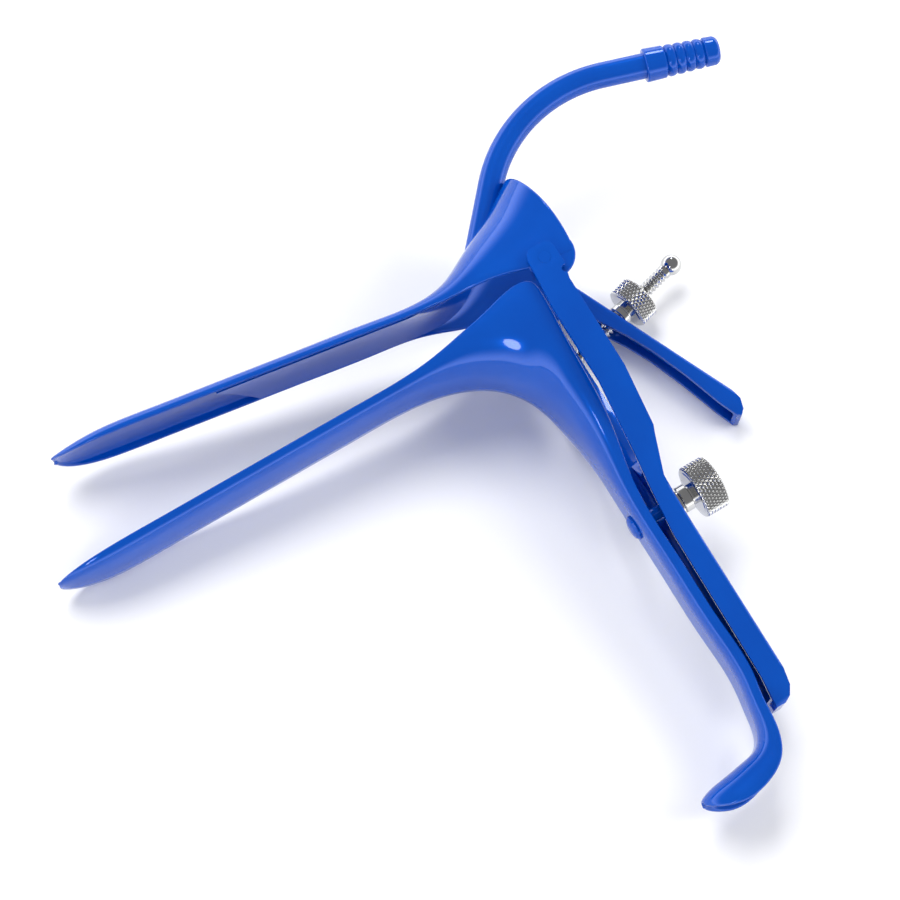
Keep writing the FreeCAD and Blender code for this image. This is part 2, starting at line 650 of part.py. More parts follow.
# the spine's channel, open towards the handle
cavity = [
    ("sizes.crotch_level + 2.5", "%s(sizes.spine_half_width + 0.4)"),
    ("sizes.crotch_level - 8", "%s(sizes.spine_half_width + 0.3 - sizes.arm_wall * 0.8)"),
    ("sizes.crotch_level - 20", "%s(sizes.spine_half_width - sizes.arm_wall * 0.8)"),
    ("sizes.spine_bottom + 8", "%s(sizes.spine_half_width - sizes.arm_wall * 0.8)"),
    ("sizes.spine_bottom + 2.6", "%s(sizes.spine_half_width - 4.4)"),
]
loop = [(along, across % "") for along, across in cavity]
loop += [(along, across % "-") for along, across in reversed(cavity)]
sketch = outline(yoke, "spine_cavity", "YZ_Plane", loop, offset="sizes.spine_rear - sizes.arm_wall")
pocket(yoke, "spine_channel", sketch, "20", reverse=False)
# slot of the spine, along which the yoke slides over the clamp screw
slot_half = "(sizes.clamp_radius + sizes.seat_gap)"
slot_high = "sizes.clamp_level + sizes.lower_range + 0.3 + " + slot_half
slot_low = "sizes.clamp_level - sizes.lift_range - 0.3 - " + slot_half
slot = [(slot_high, slot_half), (slot_low, slot_half), (slot_low, "-" + slot_half), (slot_high, "-" + slot_half)]
sketch = outline(yoke, "slot_outline", "YZ_Plane", slot)
pocket(yoke, "clamp_slot", sketch, "80", midplane=True)
round_edges(
    yoke,
    "spine_corners",
    "sizes.arm_wall * 0.5",
    lambda edge: edge.BoundBox.YLength > 20
    and edge.BoundBox.YMax < size("crotch_level") - 5
    and edge.BoundBox.XMin > size("spine_rear") - 1.0
    and abs(edge.BoundBox.Center.z) > size("spine_half_width") - 0.5,
)
# lug of the far arm that carries the rod, pin holes and notches, by cylinders bound to the sheet
arm_face = "-(sizes.bell_half_width + sizes.arm_gap + sizes.arm_wall)"


def round_cut(body, name, radius, across, up, role="XY_Plane"):
    """Round hole right through a body, square to one of its planes."""
    feature = body.newObject("PartDesign::SubtractiveCylinder", name)
    feature.AttachmentSupport = [(origin_plane(body, role), "")]
    feature.MapMode = "FlatFace"
    feature.setExpression("Radius", radius)
    feature.Height = 100
    feature.setExpression(".AttachmentOffset.Base.x", across)
    feature.setExpression(".AttachmentOffset.Base.y", up)
    feature.setExpression(".AttachmentOffset.Base.z", "-50")
    doc.recompute()
    return feature


lug = [
    ("sizes.arm_front + 1", "sizes.rod_foot_y + 9"),
    ("sizes.rod_foot_x + 0.6", "sizes.rod_foot_y + sizes.ear_lug_radius"),
    ("sizes.rod_foot_x - 2.4", "sizes.rod_foot_y + sizes.ear_lug_radius * 0.8"),
    ("sizes.rod_foot_x - sizes.ear_lug_radius", "sizes.rod_foot_y"),
    ("sizes.rod_foot_x - 2.4", "sizes.rod_foot_y - sizes.ear_lug_radius * 0.8"),
    ("sizes.rod_foot_x + 0.6", "sizes.rod_foot_y - sizes.ear_lug_radius"),
    ("sizes.arm_front + 1", "sizes.rod_foot_y - 9"),
]
sketch = outline(yoke, "lug_outline", "XY_Plane", lug, offset=arm_face)
pad(yoke, "rod_lug", sketch, "sizes.arm_wall")
round_cut(yoke, "pivot_holes", "sizes.pin_radius + 0.02", "0", "0")
round_cut(yoke, "rod_pin_hole", "sizes.rod_pin_radius + 0.02", "sizes.rod_foot_x", "sizes.rod_foot_y")
round_cut(yoke, "arm_notches", "sizes.notch_radius", "sizes.arm_rear + 0.6", "sizes.notch_level")


# Hinge pins: head inside the bell, flush outside the arm

pin_length = "sizes.arm_wall + sizes.arm_gap + sizes.sheet_wall + sizes.seat_gap"
pin_corners = [
    ("0", "0"),
    ("0", "sizes.pin_head_radius"),
    ("sizes.pin_head_height", "sizes.pin_head_radius"),
    ("sizes.pin_head_height", "sizes.pin_radius"),
    ("sizes.pin_head_height + " + pin_length, "sizes.pin_radius"),
    ("sizes.pin_head_height + " + pin_length, "0"),
]
pivot_pin = turned("pivot_pin_blank", pin_corners)
pin_start = bell_half - wall - size("seat_gap") - size("pin_head_height")
pin_solids = []
for side in (-1, 1):
    solid = pivot_pin.Shape.copy()
    solid.Placement = Placement(Vector(0, 0, side * pin_start), Rotation(Vector(1, 0, 0), Vector(0, 0, side)))
    pin_solids.append(solid)
pivot_pins = plain_feature("pivot_pins", Part.makeCompound(pin_solids))


# Clamp screw, its washer and its knurled nut, about the screw's own axis

spine_back = size("spine_rear")
screw_reach = "(sizes.spine_rear - sizes.handle_front + 2 * sizes.seat_gap + sizes.clamp_washer_height"
screw_reach += " + sizes.clamp_hub_height + sizes.neck_height + sizes.clamp_nut_height)"
screw_corners = [
    ("-sizes.clamp_head_height", "0"),
    ("-sizes.clamp_head_height", "sizes.clamp_head_radius * 0.45"),
    ("-sizes.clamp_head_height * 0.75", "sizes.clamp_head_radius * 0.78"),
    ("-sizes.clamp_head_height * 0.3", "sizes.clamp_head_radius"),
    ("0", "sizes.clamp_head_radius"),
    ("0", "sizes.clamp_radius"),
    (screw_reach + " - 0.6", "sizes.clamp_radius"),
    (screw_reach, "sizes.clamp_radius - 0.5"),
    (screw_reach, "0"),
]
clamp_screw = turned("clamp_screw", screw_corners)
neck_block = clamp_screw.newObject("PartDesign::AdditiveBox", "square_neck")
neck_block.setExpression("Length", "sizes.sheet_wall")
neck_block.setExpression("Width", "2 * sizes.clamp_radius")
neck_block.setExpression("Height", "2 * sizes.clamp_radius")
neck_block.Placement = Placement(Vector(0, -size("clamp_radius"), -size("clamp_radius")), Rotation())
doc.recompute()
washer_corners = [
    ("0", "sizes.clamp_radius + sizes.pin_clearance"),
    ("0", "sizes.clamp_washer_radius"),
    ("sizes.clamp_washer_height", "sizes.clamp_washer_radius"),
    ("sizes.clamp_washer_height", "sizes.clamp_radius + sizes.pin_clearance"),
]
clamp_washer = turned("clamp_washer", washer_corners)


def nut_corners(kind, bore):
    """Bearing hub, narrow neck and chamfered disc."""
    hub = "sizes.%s_hub_height" % kind
    disc = hub + " + sizes.neck_height"
    end = disc + " + sizes.%s_nut_height" % kind
    radius = "sizes.%s_nut_radius" % kind
    return [
        ("0", bore),
        ("0", "sizes.%s_hub_radius - sizes.hub_nose" % kind),
        ("sizes.hub_nose * 0.7", "sizes.%s_hub_radius" % kind),
        (hub, "sizes.%s_hub_radius" % kind),
        (hub, "sizes.neck_radius"),
        (disc, "sizes.neck_radius"),
        (disc, radius + " - sizes.nut_chamfer"),
        (disc + " + sizes.nut_chamfer", radius),
        (end + " - sizes.nut_chamfer", radius),
        (end, radius + " - sizes.nut_chamfer"),
        (end, bore),
    ]


clamp_nut = turned("clamp_nut", nut_corners("clamp", "sizes.clamp_radius + sizes.pin_clearance"))
adjusting_nut = turned("adjusting_nut", nut_corners("adjusting", "sizes.rod_radius + sizes.pin_clearance"))
clamp_line = Placement(Vector(size("handle_front"), size("clamp_level"), 0), Rotation())
washer_line = Placement(Vector(spine_back + size("seat_gap"), size("clamp_level"), 0), Rotation())
nut_start = spine_back + 2 * size("seat_gap") + size("clamp_washer_height")
nut_line = Placement(Vector(nut_start, size("clamp_level"), 0), Rotation())


# Adjusting rod: flat eye, shank and ball, along its own X axis

rod_corners = [
    ("0", "0"),
    ("0", "sizes.rod_radius * 0.6"),
    ("sizes.eye_radius", "sizes.rod_radius * 0.75"),
    ("sizes.eye_radius + 1", "sizes.rod_radius"),
    ("sizes.rod_length - sizes.ball_radius + 0.3", "sizes.rod_radius"),
    ("sizes.rod_length - sizes.ball_radius + 0.3", "0"),
]
adjusting_rod = turned("adjusting_rod", rod_corners)
eye = adjusting_rod.newObject("PartDesign::AdditiveCylinder", "rod_eye")
eye.setExpression("Radius", "sizes.eye_radius")
eye.setExpression("Height", "sizes.eye_height")
eye.AttachmentSupport = [(origin_plane(adjusting_rod, "XY_Plane"), "")]
eye.MapMode = "FlatFace"
eye.setExpression(".AttachmentOffset.Base.z", "-sizes.eye_height / 2")
doc.recompute()
round_cut(adjusting_rod, "eye_hole", "sizes.rod_pin_radius + sizes.pin_clearance", "0", "0")
rod_ball = plain_feature(
    "rod_ball",
    Part.makeSphere(size("ball_radius"), Vector(size("rod_length"), 0, 0)).cut(
        Part.makeCylinder(
            size("rod_radius") + 0.01,
            size("ball_radius"),
            Vector(size("rod_length") - 2 * size("ball_radius") + 0.3, 0, 0),
            Vector(1, 0, 0),
        )
    ),
)
rod_frame = Placement(
    Vector(size("rod_foot_x"), size("rod_foot_y"), -bell_half - size("rod_standoff")),
    Rotation(Vector(0, 0, 1), size("rod_lean")),
)
rod_pin_reach = "sizes.rod_standoff + sizes.eye_height / 2 + sizes.seat_gap - sizes.arm_gap"
rod_pin_corners = [
    ("0", "0"),
    ("0", "sizes.rod_pin_radius"),
    (rod_pin_reach, "sizes.rod_pin_radius"),
    (rod_pin_reach, "sizes.rod_pin_radius + 0.9"),
    (rod_pin_reach + " + 0.5", "sizes.rod_pin_radius + 0.9"),
    (rod_pin_reach + " + 0.9", "sizes.rod_pin_radius * 0.6"),
    (rod_pin_reach + " + 0.9", "0"),
]
rod_pin = turned("rod_pin", rod_pin_corners)
rod_pin_frame = Placement(
    Vector(size("rod_foot_x"), size("rod_foot_y"), -bell_half - size("arm_gap")),
    Rotation(Vector(1, 0, 0), Vector(0, 0, -1)),
)
spacer_height = "sizes.rod_standoff - sizes.eye_height / 2"
spacer_height += " - sizes.arm_gap - sizes.arm_wall - 2 * sizes.seat_gap"
spacer_corners = [
    ("0", "sizes.rod_pin_radius + sizes.pin_clearance"),
    ("0", "sizes.eye_radius - 0.4"),
    (spacer_height, "sizes.eye_radius - 0.4"),
    (spacer_height, "sizes.rod_pin_radius + sizes.pin_clearance"),
]
rod_washer = turned("rod_washer", spacer_corners)
arm_outside = bell_half + size("arm_gap") + size("arm_wall")
rod_washer_frame = Placement(
    Vector(size("rod_foot_x"), size("rod_foot_y"), -arm_outside - size("seat_gap")),
    Rotation(Vector(1, 0, 0), Vector(0, 0, -1)),
)
nut_frame = rod_frame.multiply(Placement(Vector(size("adjusting_seat"), 0, 0), Rotation()))


# Thumb lever: channel with a curled end, and a strap on the bell's far wall

thumb_lever = doc.addObject("PartDesign::Body", "thumb_lever")
lever_face = "-(sizes.bell_half_width + sizes.ear_proud + sizes.seat_gap)"
lever_side = [
    ("0", "0"),
    ("sizes.lever_length - sizes.lever_curl", "0"),
    ("sizes.lever_length - sizes.lever_curl * 0.45", "-0.8"),
    ("sizes.lever_length - sizes.lever_curl * 0.1", "-2.6"),
    ("sizes.lever_length", "-4.2"),
    ("sizes.lever_length - 0.9", "-4.9"),
    ("sizes.lever_length - sizes.lever_curl", "-sizes.lever_depth + 0.5"),
    ("sizes.lever_length * 0.68", "-sizes.lever_waist - 0.5"),
    ("sizes.lever_length * 0.5", "-sizes.lever_waist"),
    ("sizes.lever_length * 0.36", "-sizes.lever_waist - 0.3"),
    ("sizes.lever_length * 0.22", "-sizes.lever_depth + 1"),
    ("sizes.lever_length * 0.1", "-sizes.lever_depth + 0.2"),
    ("0", "-sizes.lever_depth + 0.6"),
]
sketch = outline(thumb_lever, "lever_side", "XY_Plane", lever_side, offset=lever_face)
pad(thumb_lever, "lever_block", sketch, "sizes.lever_width", reverse=True)
strap = [
    ("-sizes.strap_length", "-sizes.lever_depth + 1.3"),
    ("-sizes.strap_length + 1", "-sizes.lever_depth + 0.6"),
    ("0.5", "-sizes.lever_depth + 0.6"),
    ("0.5", "-0.6"),
    ("-sizes.strap_length + 1", "-0.9"),
    ("-sizes.strap_length", "-1.6"),
]
sketch = outline(thumb_lever, "strap_outline", "XY_Plane", strap, offset=lever_face)
pad(thumb_lever, "strap", sketch, "sizes.lever_wall", reverse=True)
hollow = [
    ("-2", "-sizes.lever_wall"),
    ("sizes.lever_length - sizes.lever_curl", "-sizes.lever_wall"),
    ("sizes.lever_length - sizes.lever_curl * 0.7", "-sizes.lever_wall - 0.4"),
    ("sizes.lever_length - sizes.lever_curl * 0.35", "-sizes.lever_wall - 2"),
    ("sizes.lever_length - 1.4", "-9"),
    ("-2", "-9"),
]
sketch = outline(thumb_lever, "hollow_outline", "XY_Plane", hollow, offset=lever_face + " - sizes.lever_wall")
pocket(thumb_lever, "lever_hollow", sketch, "sizes.lever_width - 2 * sizes.lever_wall", reverse=False)
round_edges(
    thumb_lever,
    "lever_corners",
    "sizes.lever_wall * 0.7",
    lambda edge: edge.BoundBox.YMin > -0.05 and edge.BoundBox.XLength > size("lever_length") / 2,
)
closed_to_open = Placement(Vector(), Rotation(Vector(0, 0, 1), -size("opening_angle")))
lever_place = closed_to_open.multiply(lever_frame)
hole_axis = lever_place.inverse().multiply(rod_frame)
lever_hole = thumb_lever.newObject("PartDesign::SubtractiveCylinder", "rod_hole")
lever_hole.setExpression("Radius", "sizes.lever_hole_radius")
hole_reach = 1.2 * size("lever_depth")
lever_hole.Height = 2 * hole_reach
along_rod = Rotation(Vector(0, 0, 1), Vector(1, 0, 0))
hole_start = Vector(size("adjusting_seat") - hole_reach, 0, 0)
lever_hole.Placement = hole_axis.multiply(Placement(hole_start, along_rod))
doc.recompute()
for index, share in enumerate((0.28, 0.72)):
    round_cut(
        thumb_lever,
        "rivet_hole_%d" % (index + 1),
        "sizes.rivet_radius + sizes.seat_gap",
        "-sizes.strap_length * %s" % share,
        "-sizes.lever_depth / 2",
    )


# Rivets of the lever's strap, domed outside and flat inside the bell

rivet_reach = "sizes.sheet_wall + sizes.lever_wall + sizes.ear_proud + 2 * sizes.seat_gap + sizes.rivet_inset"
rivet_corners = [
    ("0", "0"),
    ("0", "sizes.rivet_head_radius"),
    ("sizes.rivet_head_height", "sizes.rivet_head_radius"),
    ("sizes.rivet_head_height", "sizes.rivet_radius"),
    ("sizes.rivet_head_height + " + rivet_reach, "sizes.rivet_radius"),
    ("sizes.rivet_head_height + " + rivet_reach, "sizes.rivet_head_radius"),
    ("2 * sizes.rivet_head_height + " + rivet_reach, "sizes.rivet_head_radius * 0.6"),
    ("2 * sizes.rivet_head_height + " + rivet_reach, "0"),
]
lever_rivet = turned("lever_rivet_blank", rivet_corners)
rivet_start = -(bell_half - wall - size("rivet_inset") - size("rivet_head_height"))
rivet_solids = []
for spot in rivet_spots:
    solid = lever_rivet.Shape.copy()
    solid.Placement = Placement(Vector(spot.x, spot.y, rivet_start), Rotation(Vector(1, 0, 0), Vector(0, 0, -1)))
    rivet_solids.append(solid)
lever_rivets = plain_feature("lever_rivets", Part.makeCompound(rivet_solids))


# Places: the upper blade's pieces open about the hinge, then all of it lies on the table

still = Placement()
pieces = [
    (lower_blade, still),
    (upper_blade, closed_to_open),
    (smoke_channel, closed_to_open),
    (smoke_tube, closed_to_open),
    (hose_barb, closed_to_open.multiply(barb_frame)),
    (yoke, still),
    (pivot_pins, still),
    (clamp_screw, clamp_line),
    (clamp_washer, washer_line),
    (clamp_nut, nut_line),
    (thumb_lever, lever_place),
    (lever_rivets, closed_to_open),
    (adjusting_rod, rod_frame),
    (rod_ball, rod_frame),
    (rod_pin, rod_pin_frame),
    (rod_washer, rod_washer_frame),
    (adjusting_nut, nut_frame),
]
tilt = Rotation(Vector(0, 1, 0), size("rest_pitch")).multiply(Rotation(Vector(1, 0, 0), size("rest_roll")))
for piece, place in pieces:
    piece.Placement = Placement(Vector(), tilt).multiply(place)
doc.recompute()
bounds = Part.makeCompound([piece.Shape for piece, place in pieces]).optimalBoundingBox()
to_table = Vector(-bounds.Center.x, -bounds.Center.y, -bounds.ZMin)
for piece, place in pieces:
    piece.Placement = Placement(to_table, tilt).multiply(place)
doc.recompute()
print("hinge at", to_table)

for item in doc.Objects:
    if "Invalid" in item.State or "Error" in item.State:
        raise RuntimeError("%s has failed" % item.Name)
for piece, place in pieces:
    if piece.Shape.isNull() or not piece.Shape.isValid():
        raise RuntimeError("%s has no sound shape" % piece.Name)
for piece, place in pieces:
    piece.Label = piece.Name
    piece.Shape.exportStep("parts/%s.step" % piece.Label)
    print(piece.Label, len(piece.Shape.Solids), round(piece.Shape.Volume, 1))
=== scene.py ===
import json
import math

import bmesh
import bpy
import numpy as np
from mathutils import Matrix, Vector


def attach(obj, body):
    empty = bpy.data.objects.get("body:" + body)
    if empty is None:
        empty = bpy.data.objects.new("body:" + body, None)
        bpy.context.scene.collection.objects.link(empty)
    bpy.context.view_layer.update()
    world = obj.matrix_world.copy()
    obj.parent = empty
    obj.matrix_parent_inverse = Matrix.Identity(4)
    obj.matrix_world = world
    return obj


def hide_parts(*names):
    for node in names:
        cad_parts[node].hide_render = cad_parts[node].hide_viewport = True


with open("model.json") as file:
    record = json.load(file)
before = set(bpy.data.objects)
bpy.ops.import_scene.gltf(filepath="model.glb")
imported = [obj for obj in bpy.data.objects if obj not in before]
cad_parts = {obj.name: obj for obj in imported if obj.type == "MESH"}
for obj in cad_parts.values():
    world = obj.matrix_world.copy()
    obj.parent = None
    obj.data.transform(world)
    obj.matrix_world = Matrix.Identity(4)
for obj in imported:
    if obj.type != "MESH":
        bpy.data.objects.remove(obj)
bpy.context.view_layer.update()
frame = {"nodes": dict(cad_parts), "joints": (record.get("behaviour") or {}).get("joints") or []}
print("frame loaded")

mm = 0.001
fullTurn = 2.0 * math.pi
shortest = 1e-9  # no length is divided by less than this

# The instrument's own frame: x back along the lower blade, y up to the upper blade, z across it, with the
# blade hinge as its origin. It lies on the table with two small tilts (degrees), upper blade laid open.
rest = {"pitch": -8.2, "roll": 4.8, "opening": 8.5}


def turnAbout(degrees, axis):
    return Matrix.Rotation(math.radians(degrees), 4, axis)


bladeHinge = next(joint for joint in frame["joints"] if joint["name"] == "blade_hinge")
tilt = turnAbout(rest["pitch"], "Y") @ turnAbout(rest["roll"], "X")
toTable = Matrix.Translation(Vector(bladeHinge["pos_m"])) @ tilt
opened = toTable @ turnAbout(-rest["opening"], "Z")


# world place of a point given in millimetres in the instrument's frame
def place(point):
    return toTable @ Vector([part * mm for part in point])


# frame of a piece that stands at a place of the base frame, its own x axis turned about z by some degrees
def frameAt(x, y, z, degrees, base):
    return base @ Matrix.Translation((x * mm, y * mm, z * mm)) @ turnAbout(degrees, "Z")


# Shader maths: a number socket that adds and multiplies as a number does
class Wave:
    def __init__(self, tree, socket):
        self.tree = tree
        self.socket = socket

    def joined(self, operation, other):
        return Shades(self.tree).node("ShaderNodeMath", {"operation": operation}, {0: self, 1: other}, 0)

    def __add__(self, other):
        return self.joined("ADD", other)

    __radd__ = __add__

    def __mul__(self, other):
        return self.joined("MULTIPLY", other)

    __rmul__ = __mul__


# One node tree. node() adds any node: its type, its settings, the values or links of its sockets, and
# which of its outputs is wanted.
class Shades:
    def __init__(self, tree):
        self.tree = tree

    def node(self, kind, settings, sockets, output):
        node = self.tree.nodes.new(kind)
        for name, setting in settings.items():
            setattr(node, name, setting)
        for name, value in sockets.items():
            self.feed(node.inputs[name], value)
        return Wave(self.tree, node.outputs[output])

    def feed(self, entry, value):
        if isinstance(value, Wave):
            self.tree.links.new(value.socket, entry)
        else:
            entry.default_value = value

    def noise(self, settings):
        scale, detail, rough = settings
        spot = self.node("ShaderNodeTexCoord", {}, {}, "Object")
        sockets = {"Vector": spot, "Scale": scale, "Detail": detail, "Roughness": rough}
        return self.node("ShaderNodeTexNoise", {}, sockets, 0)

    # the colours of a Mix node are its sockets 6 and 7, and the mixed colour is its output 2
    def mixed(self, share, low, high):
        sockets = {0: share, 6: (*low, 1.0), 7: (*high, 1.0)}
        return self.node("ShaderNodeMix", {"data_type": "RGBA"}, sockets, 2)

    # bumps one on another, each a height and how far it moves the surface in metres
    def bumps(self, layers, strength):
        sockets = {"Strength": strength}
        for height, distance in layers:
            sockets.update({"Height": height, "Distance": distance})
            sockets["Normal"] = self.node("ShaderNodeBump", {}, sockets, 0)
        return sockets["Normal"]


# a material whose finish says what each socket of its shader gets
def makeMaterial(name, finish, settings):
    material = bpy.data.materials.new(name)
    material.use_nodes = True
    tree = material.node_tree
    tree.nodes.clear()
    output = tree.nodes.new("ShaderNodeOutputMaterial")
    shader = tree.nodes.new("ShaderNodeBsdfPrincipled")
    tree.links.new(shader.outputs[0], output.inputs["Surface"])
    shades = Shades(tree)
    for socket, value in finish(shades, settings).items():
        shades.feed(shader.inputs[socket], value)
    return material


# Blue coating: a glossy deep blue under a clear layer, in slow blotches, with a fine grain and a faint
# ripple. Each noise is its scale, its detail and its roughness; distances are in metres.
coating = {
    "deep": (0.0, 0.062, 0.41),
    "bright": (0.0, 0.086, 0.51),
    "blotch": (55.0, 3.0, 0.55),
    "grain": (2600.0, 2.0, 0.55),
    "ripple": (190.0, 2.0, 0.55),
    "grainDistance": 0.000002,
    "rippleDistance": 0.00003,
    "bump": 0.6,
    "rough": 0.13,
    "roughBlotch": 0.10,
    "roughGrain": 0.05,
    "metallic": 0.2,
    "specular": 0.0,
    "coat": 0.75,
    "coatRough": 0.05,
}


def coatingFinish(shades, look):
    blotch = shades.noise(look["blotch"])
    grain = shades.noise(look["grain"])
    ripple = shades.noise(look["ripple"])
    layers = [(grain, look["grainDistance"]), (ripple, look["rippleDistance"])]
    return {
        "Base Color": shades.mixed(blotch, look["deep"], look["bright"]),
        "Roughness": blotch * look["roughBlotch"] + grain * look["roughGrain"] + look["rough"],
        "Metallic": look["metallic"],
        "Specular IOR Level": look["specular"],
        "Coat Weight": look["coat"],
        "Coat Roughness": look["coatRough"],
        "Normal": shades.bumps(layers, look["bump"]),
    }


# Bright nickel: a pale metal, a little cloudy, with a very fine grain
nickel = {
    "dark": (0.50, 0.50, 0.49),
    "light": (0.74, 0.74, 0.73),
    "blotch": (120.0, 3.0, 0.55),
    "grain": (3000.0, 2.0, 0.55),
    "grainDistance": 0.000003,
    "bump": 0.6,
    "rough": 0.06,
    "roughBlotch": 0.12,
}


def nickelFinish(shades, look):
    blotch = shades.noise(look["blotch"])
    grain = shades.noise(look["grain"])
    return {
        "Base Color": shades.mixed(blotch, look["dark"], look["light"]),
        "Roughness": blotch * look["roughBlotch"] + look["rough"],
        "Metallic": 1.0,
        "Normal": shades.bumps([(grain, look["grainDistance"])], look["bump"]),
    }


blueCoat = makeMaterial("blueCoating", coatingFinish, coating)
brightNickel = makeMaterial("brightNickel", nickelFinish, nickel)
nickelNodes = ["clamp_washer", "clamp_nut"]
nickelNodes += ["adjusting_rod", "rod_ball", "rod_pin", "rod_washer", "adjusting_nut"]

for name, node in frame["nodes"].items():
    for slot in node.material_slots:
        slot.material = brightNickel if name in nickelNodes else blueCoat
print("materials given")

# Meshes are built from grids of points in millimetres; points closer than "within" metres are joined
joining = {"within": 2e-6, "shortEdge": 1e-7}


# quads between neighbouring points of a grid that is stored row by row, closed on itself or open
def gridFaces(rows, columns, start, closeRows, closeColumns):
    lastRow = rows if closeRows else rows - 1
    lastColumn = columns if closeColumns else columns - 1
    row, column = np.meshgrid(np.arange(lastRow), np.arange(lastColumn), indexing="ij")
    nextRow = (row + 1) % rows
    nextColumn = (column + 1) % columns
    corners = [(row, column), (row, nextColumn), (nextRow, nextColumn), (nextRow, column)]
    return np.stack([(down * columns + across).ravel() for down, across in corners], axis=1) + start


# one smooth piece from its grids, faces outwards, in place of the CAD node whose slot it takes; edges
# sharper than the angle "sharp" stay sharp
def addPiece(name, grids, matrix, material, body, nodeName, sharp=None):
    points = []
    faces = []
    start = 0
    for grid, closeRows, closeColumns in grids:
        rows, columns = grid.shape[:2]
        faces.append(gridFaces(rows, columns, start, closeRows, closeColumns))
        points.append(grid.reshape(-1, 3))
        start += rows * columns
    turn = np.array(matrix)
    spots = (np.concatenate(points) * mm) @ turn[:3, :3].T + turn[:3, 3]
    mesh = bpy.data.meshes.new(name)
    mesh.from_pydata(spots.tolist(), [], np.concatenate(faces).tolist())
    work = bmesh.new()
    work.from_mesh(mesh)
    bmesh.ops.remove_doubles(work, verts=work.verts, dist=joining["within"])
    bmesh.ops.dissolve_degenerate(work, edges=work.edges, dist=joining["shortEdge"])
    bmesh.ops.recalc_face_normals(work, faces=work.faces)
    work.to_mesh(mesh)
    work.free()
    mesh.polygons.foreach_set("use_smooth", np.ones(len(mesh.polygons), dtype=bool))
    if sharp:
        mesh.set_sharp_from_angle(angle=math.radians(sharp))
    mesh.materials.append(material)
    piece = bpy.data.objects.new(name, mesh)
    bpy.context.scene.collection.objects.link(piece)
    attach(piece, body)
    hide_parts(nodeName)


# Smooth curves: cubic spans through points, with slopes that let the bend run on from span to span


# slope at the first of four points of the cubic that passes through all four
def endSlope(shares, points):
    first = shares[0]
    others = shares[1:]
    slope = points[0] * np.sum(1.0 / (first - others))
    for index, share in enumerate(others):
        left = np.delete(others, index)
        weight = np.prod(first - left) / (np.prod(share - left) * (share - first))
        slope = slope + points[index + 1] * weight
    return slope


# slopes at all points: at each inner one the second slope of the span before equals that of the span after
def slopesThrough(shares, points):
    count = len(shares)
    flat = points.reshape(count, -1)
    steps = np.diff(shares)
    matrix = np.zeros((count, count))
    right = np.zeros_like(flat)
    matrix[0, 0] = 1.0
    matrix[-1, -1] = 1.0
    right[0] = endSlope(shares[:4], flat[:4])
    right[-1] = endSlope(shares[::-1][:4], flat[::-1][:4])
    rise = np.diff(flat, axis=0) / steps[:, None]
    inner = np.arange(1, count - 1)
    matrix[inner, inner - 1] = 1.0 / steps[:-1]
    matrix[inner, inner] = 2.0 / steps[:-1] + 2.0 / steps[1:]
    matrix[inner, inner + 1] = 1.0 / steps[1:]
    right[1:-1] = 3.0 * (rise[:-1] / steps[:-1, None] + rise[1:] / steps[1:, None])
    return np.linalg.solve(matrix, right).reshape(points.shape)


# span of each wanted share, and how much the span's start, start slope, end and end slope count there
def spanWeights(shares, wanted):
    span = np.clip(np.searchsorted(shares, wanted, side="right") - 1, 0, len(shares) - 2)
    width = shares[span + 1] - shares[span]
    part = (wanted - shares[span]) / width
    start = 2 * part**3 - 3 * part**2 + 1
    startSlope = (part**3 - 2 * part**2 + part) * width
    end = 3 * part**2 - 2 * part**3
    endTilt = (part**3 - part**2) * width
    return span, [start, startSlope, end, endTilt]


# places on the curves down the rows of points, at the same wanted shares for every column
def alongCurves(shares, points, wanted):
    slopes = slopesThrough(shares, points)
    span, weights = spanWeights(shares, wanted)
    a, b, c, d = [weight.reshape(-1, *([1] * (points.ndim - 1))) for weight in weights]
    return a * points[span] + b * slopes[span] + c * points[span + 1] + d * slopes[span + 1]


# places on the curves across each row of points, at wanted shares of its own for every row
def acrossCurves(points, wanted):
    ribs = points.transpose(1, 0, 2)
    shares = np.linspace(0.0, 1.0, len(ribs))
    slopes = slopesThrough(shares, ribs)
    span, weights = spanWeights(shares, wanted)
    row = np.arange(points.shape[0])[:, None]
    a, b, c, d = [weight[..., None] for weight in weights]
    return a * ribs[span, row] + b * slopes[span, row] + c * ribs[span + 1, row] + d * slopes[span + 1, row]


# Sheet troughs: both blades are one sheet, bent into a superellipse that changes from station to station
wall = 1.3
sheet = {"ribSteps": 8, "fineSteps": 240, "columns": 61, "probes": 2001, "even": 0.35}
lip = {"inset": 0.6, "most": 0.2, "steps": 7, "cornerSteps": 5}


# one place along a trough: its floor, the level of its rims, half its width and how square it is; draw and
# shift say how the inner face leaves the outer one, and bow swells the sides
def station(floor, rim, half, square, draw=wall, shift=(0.0, 0.0), bow=0.0):
    return {
        "floor": floor, "rim": rim, "half": half, "square": square, "draw": draw, "shift": shift, "bow": bow,
    }


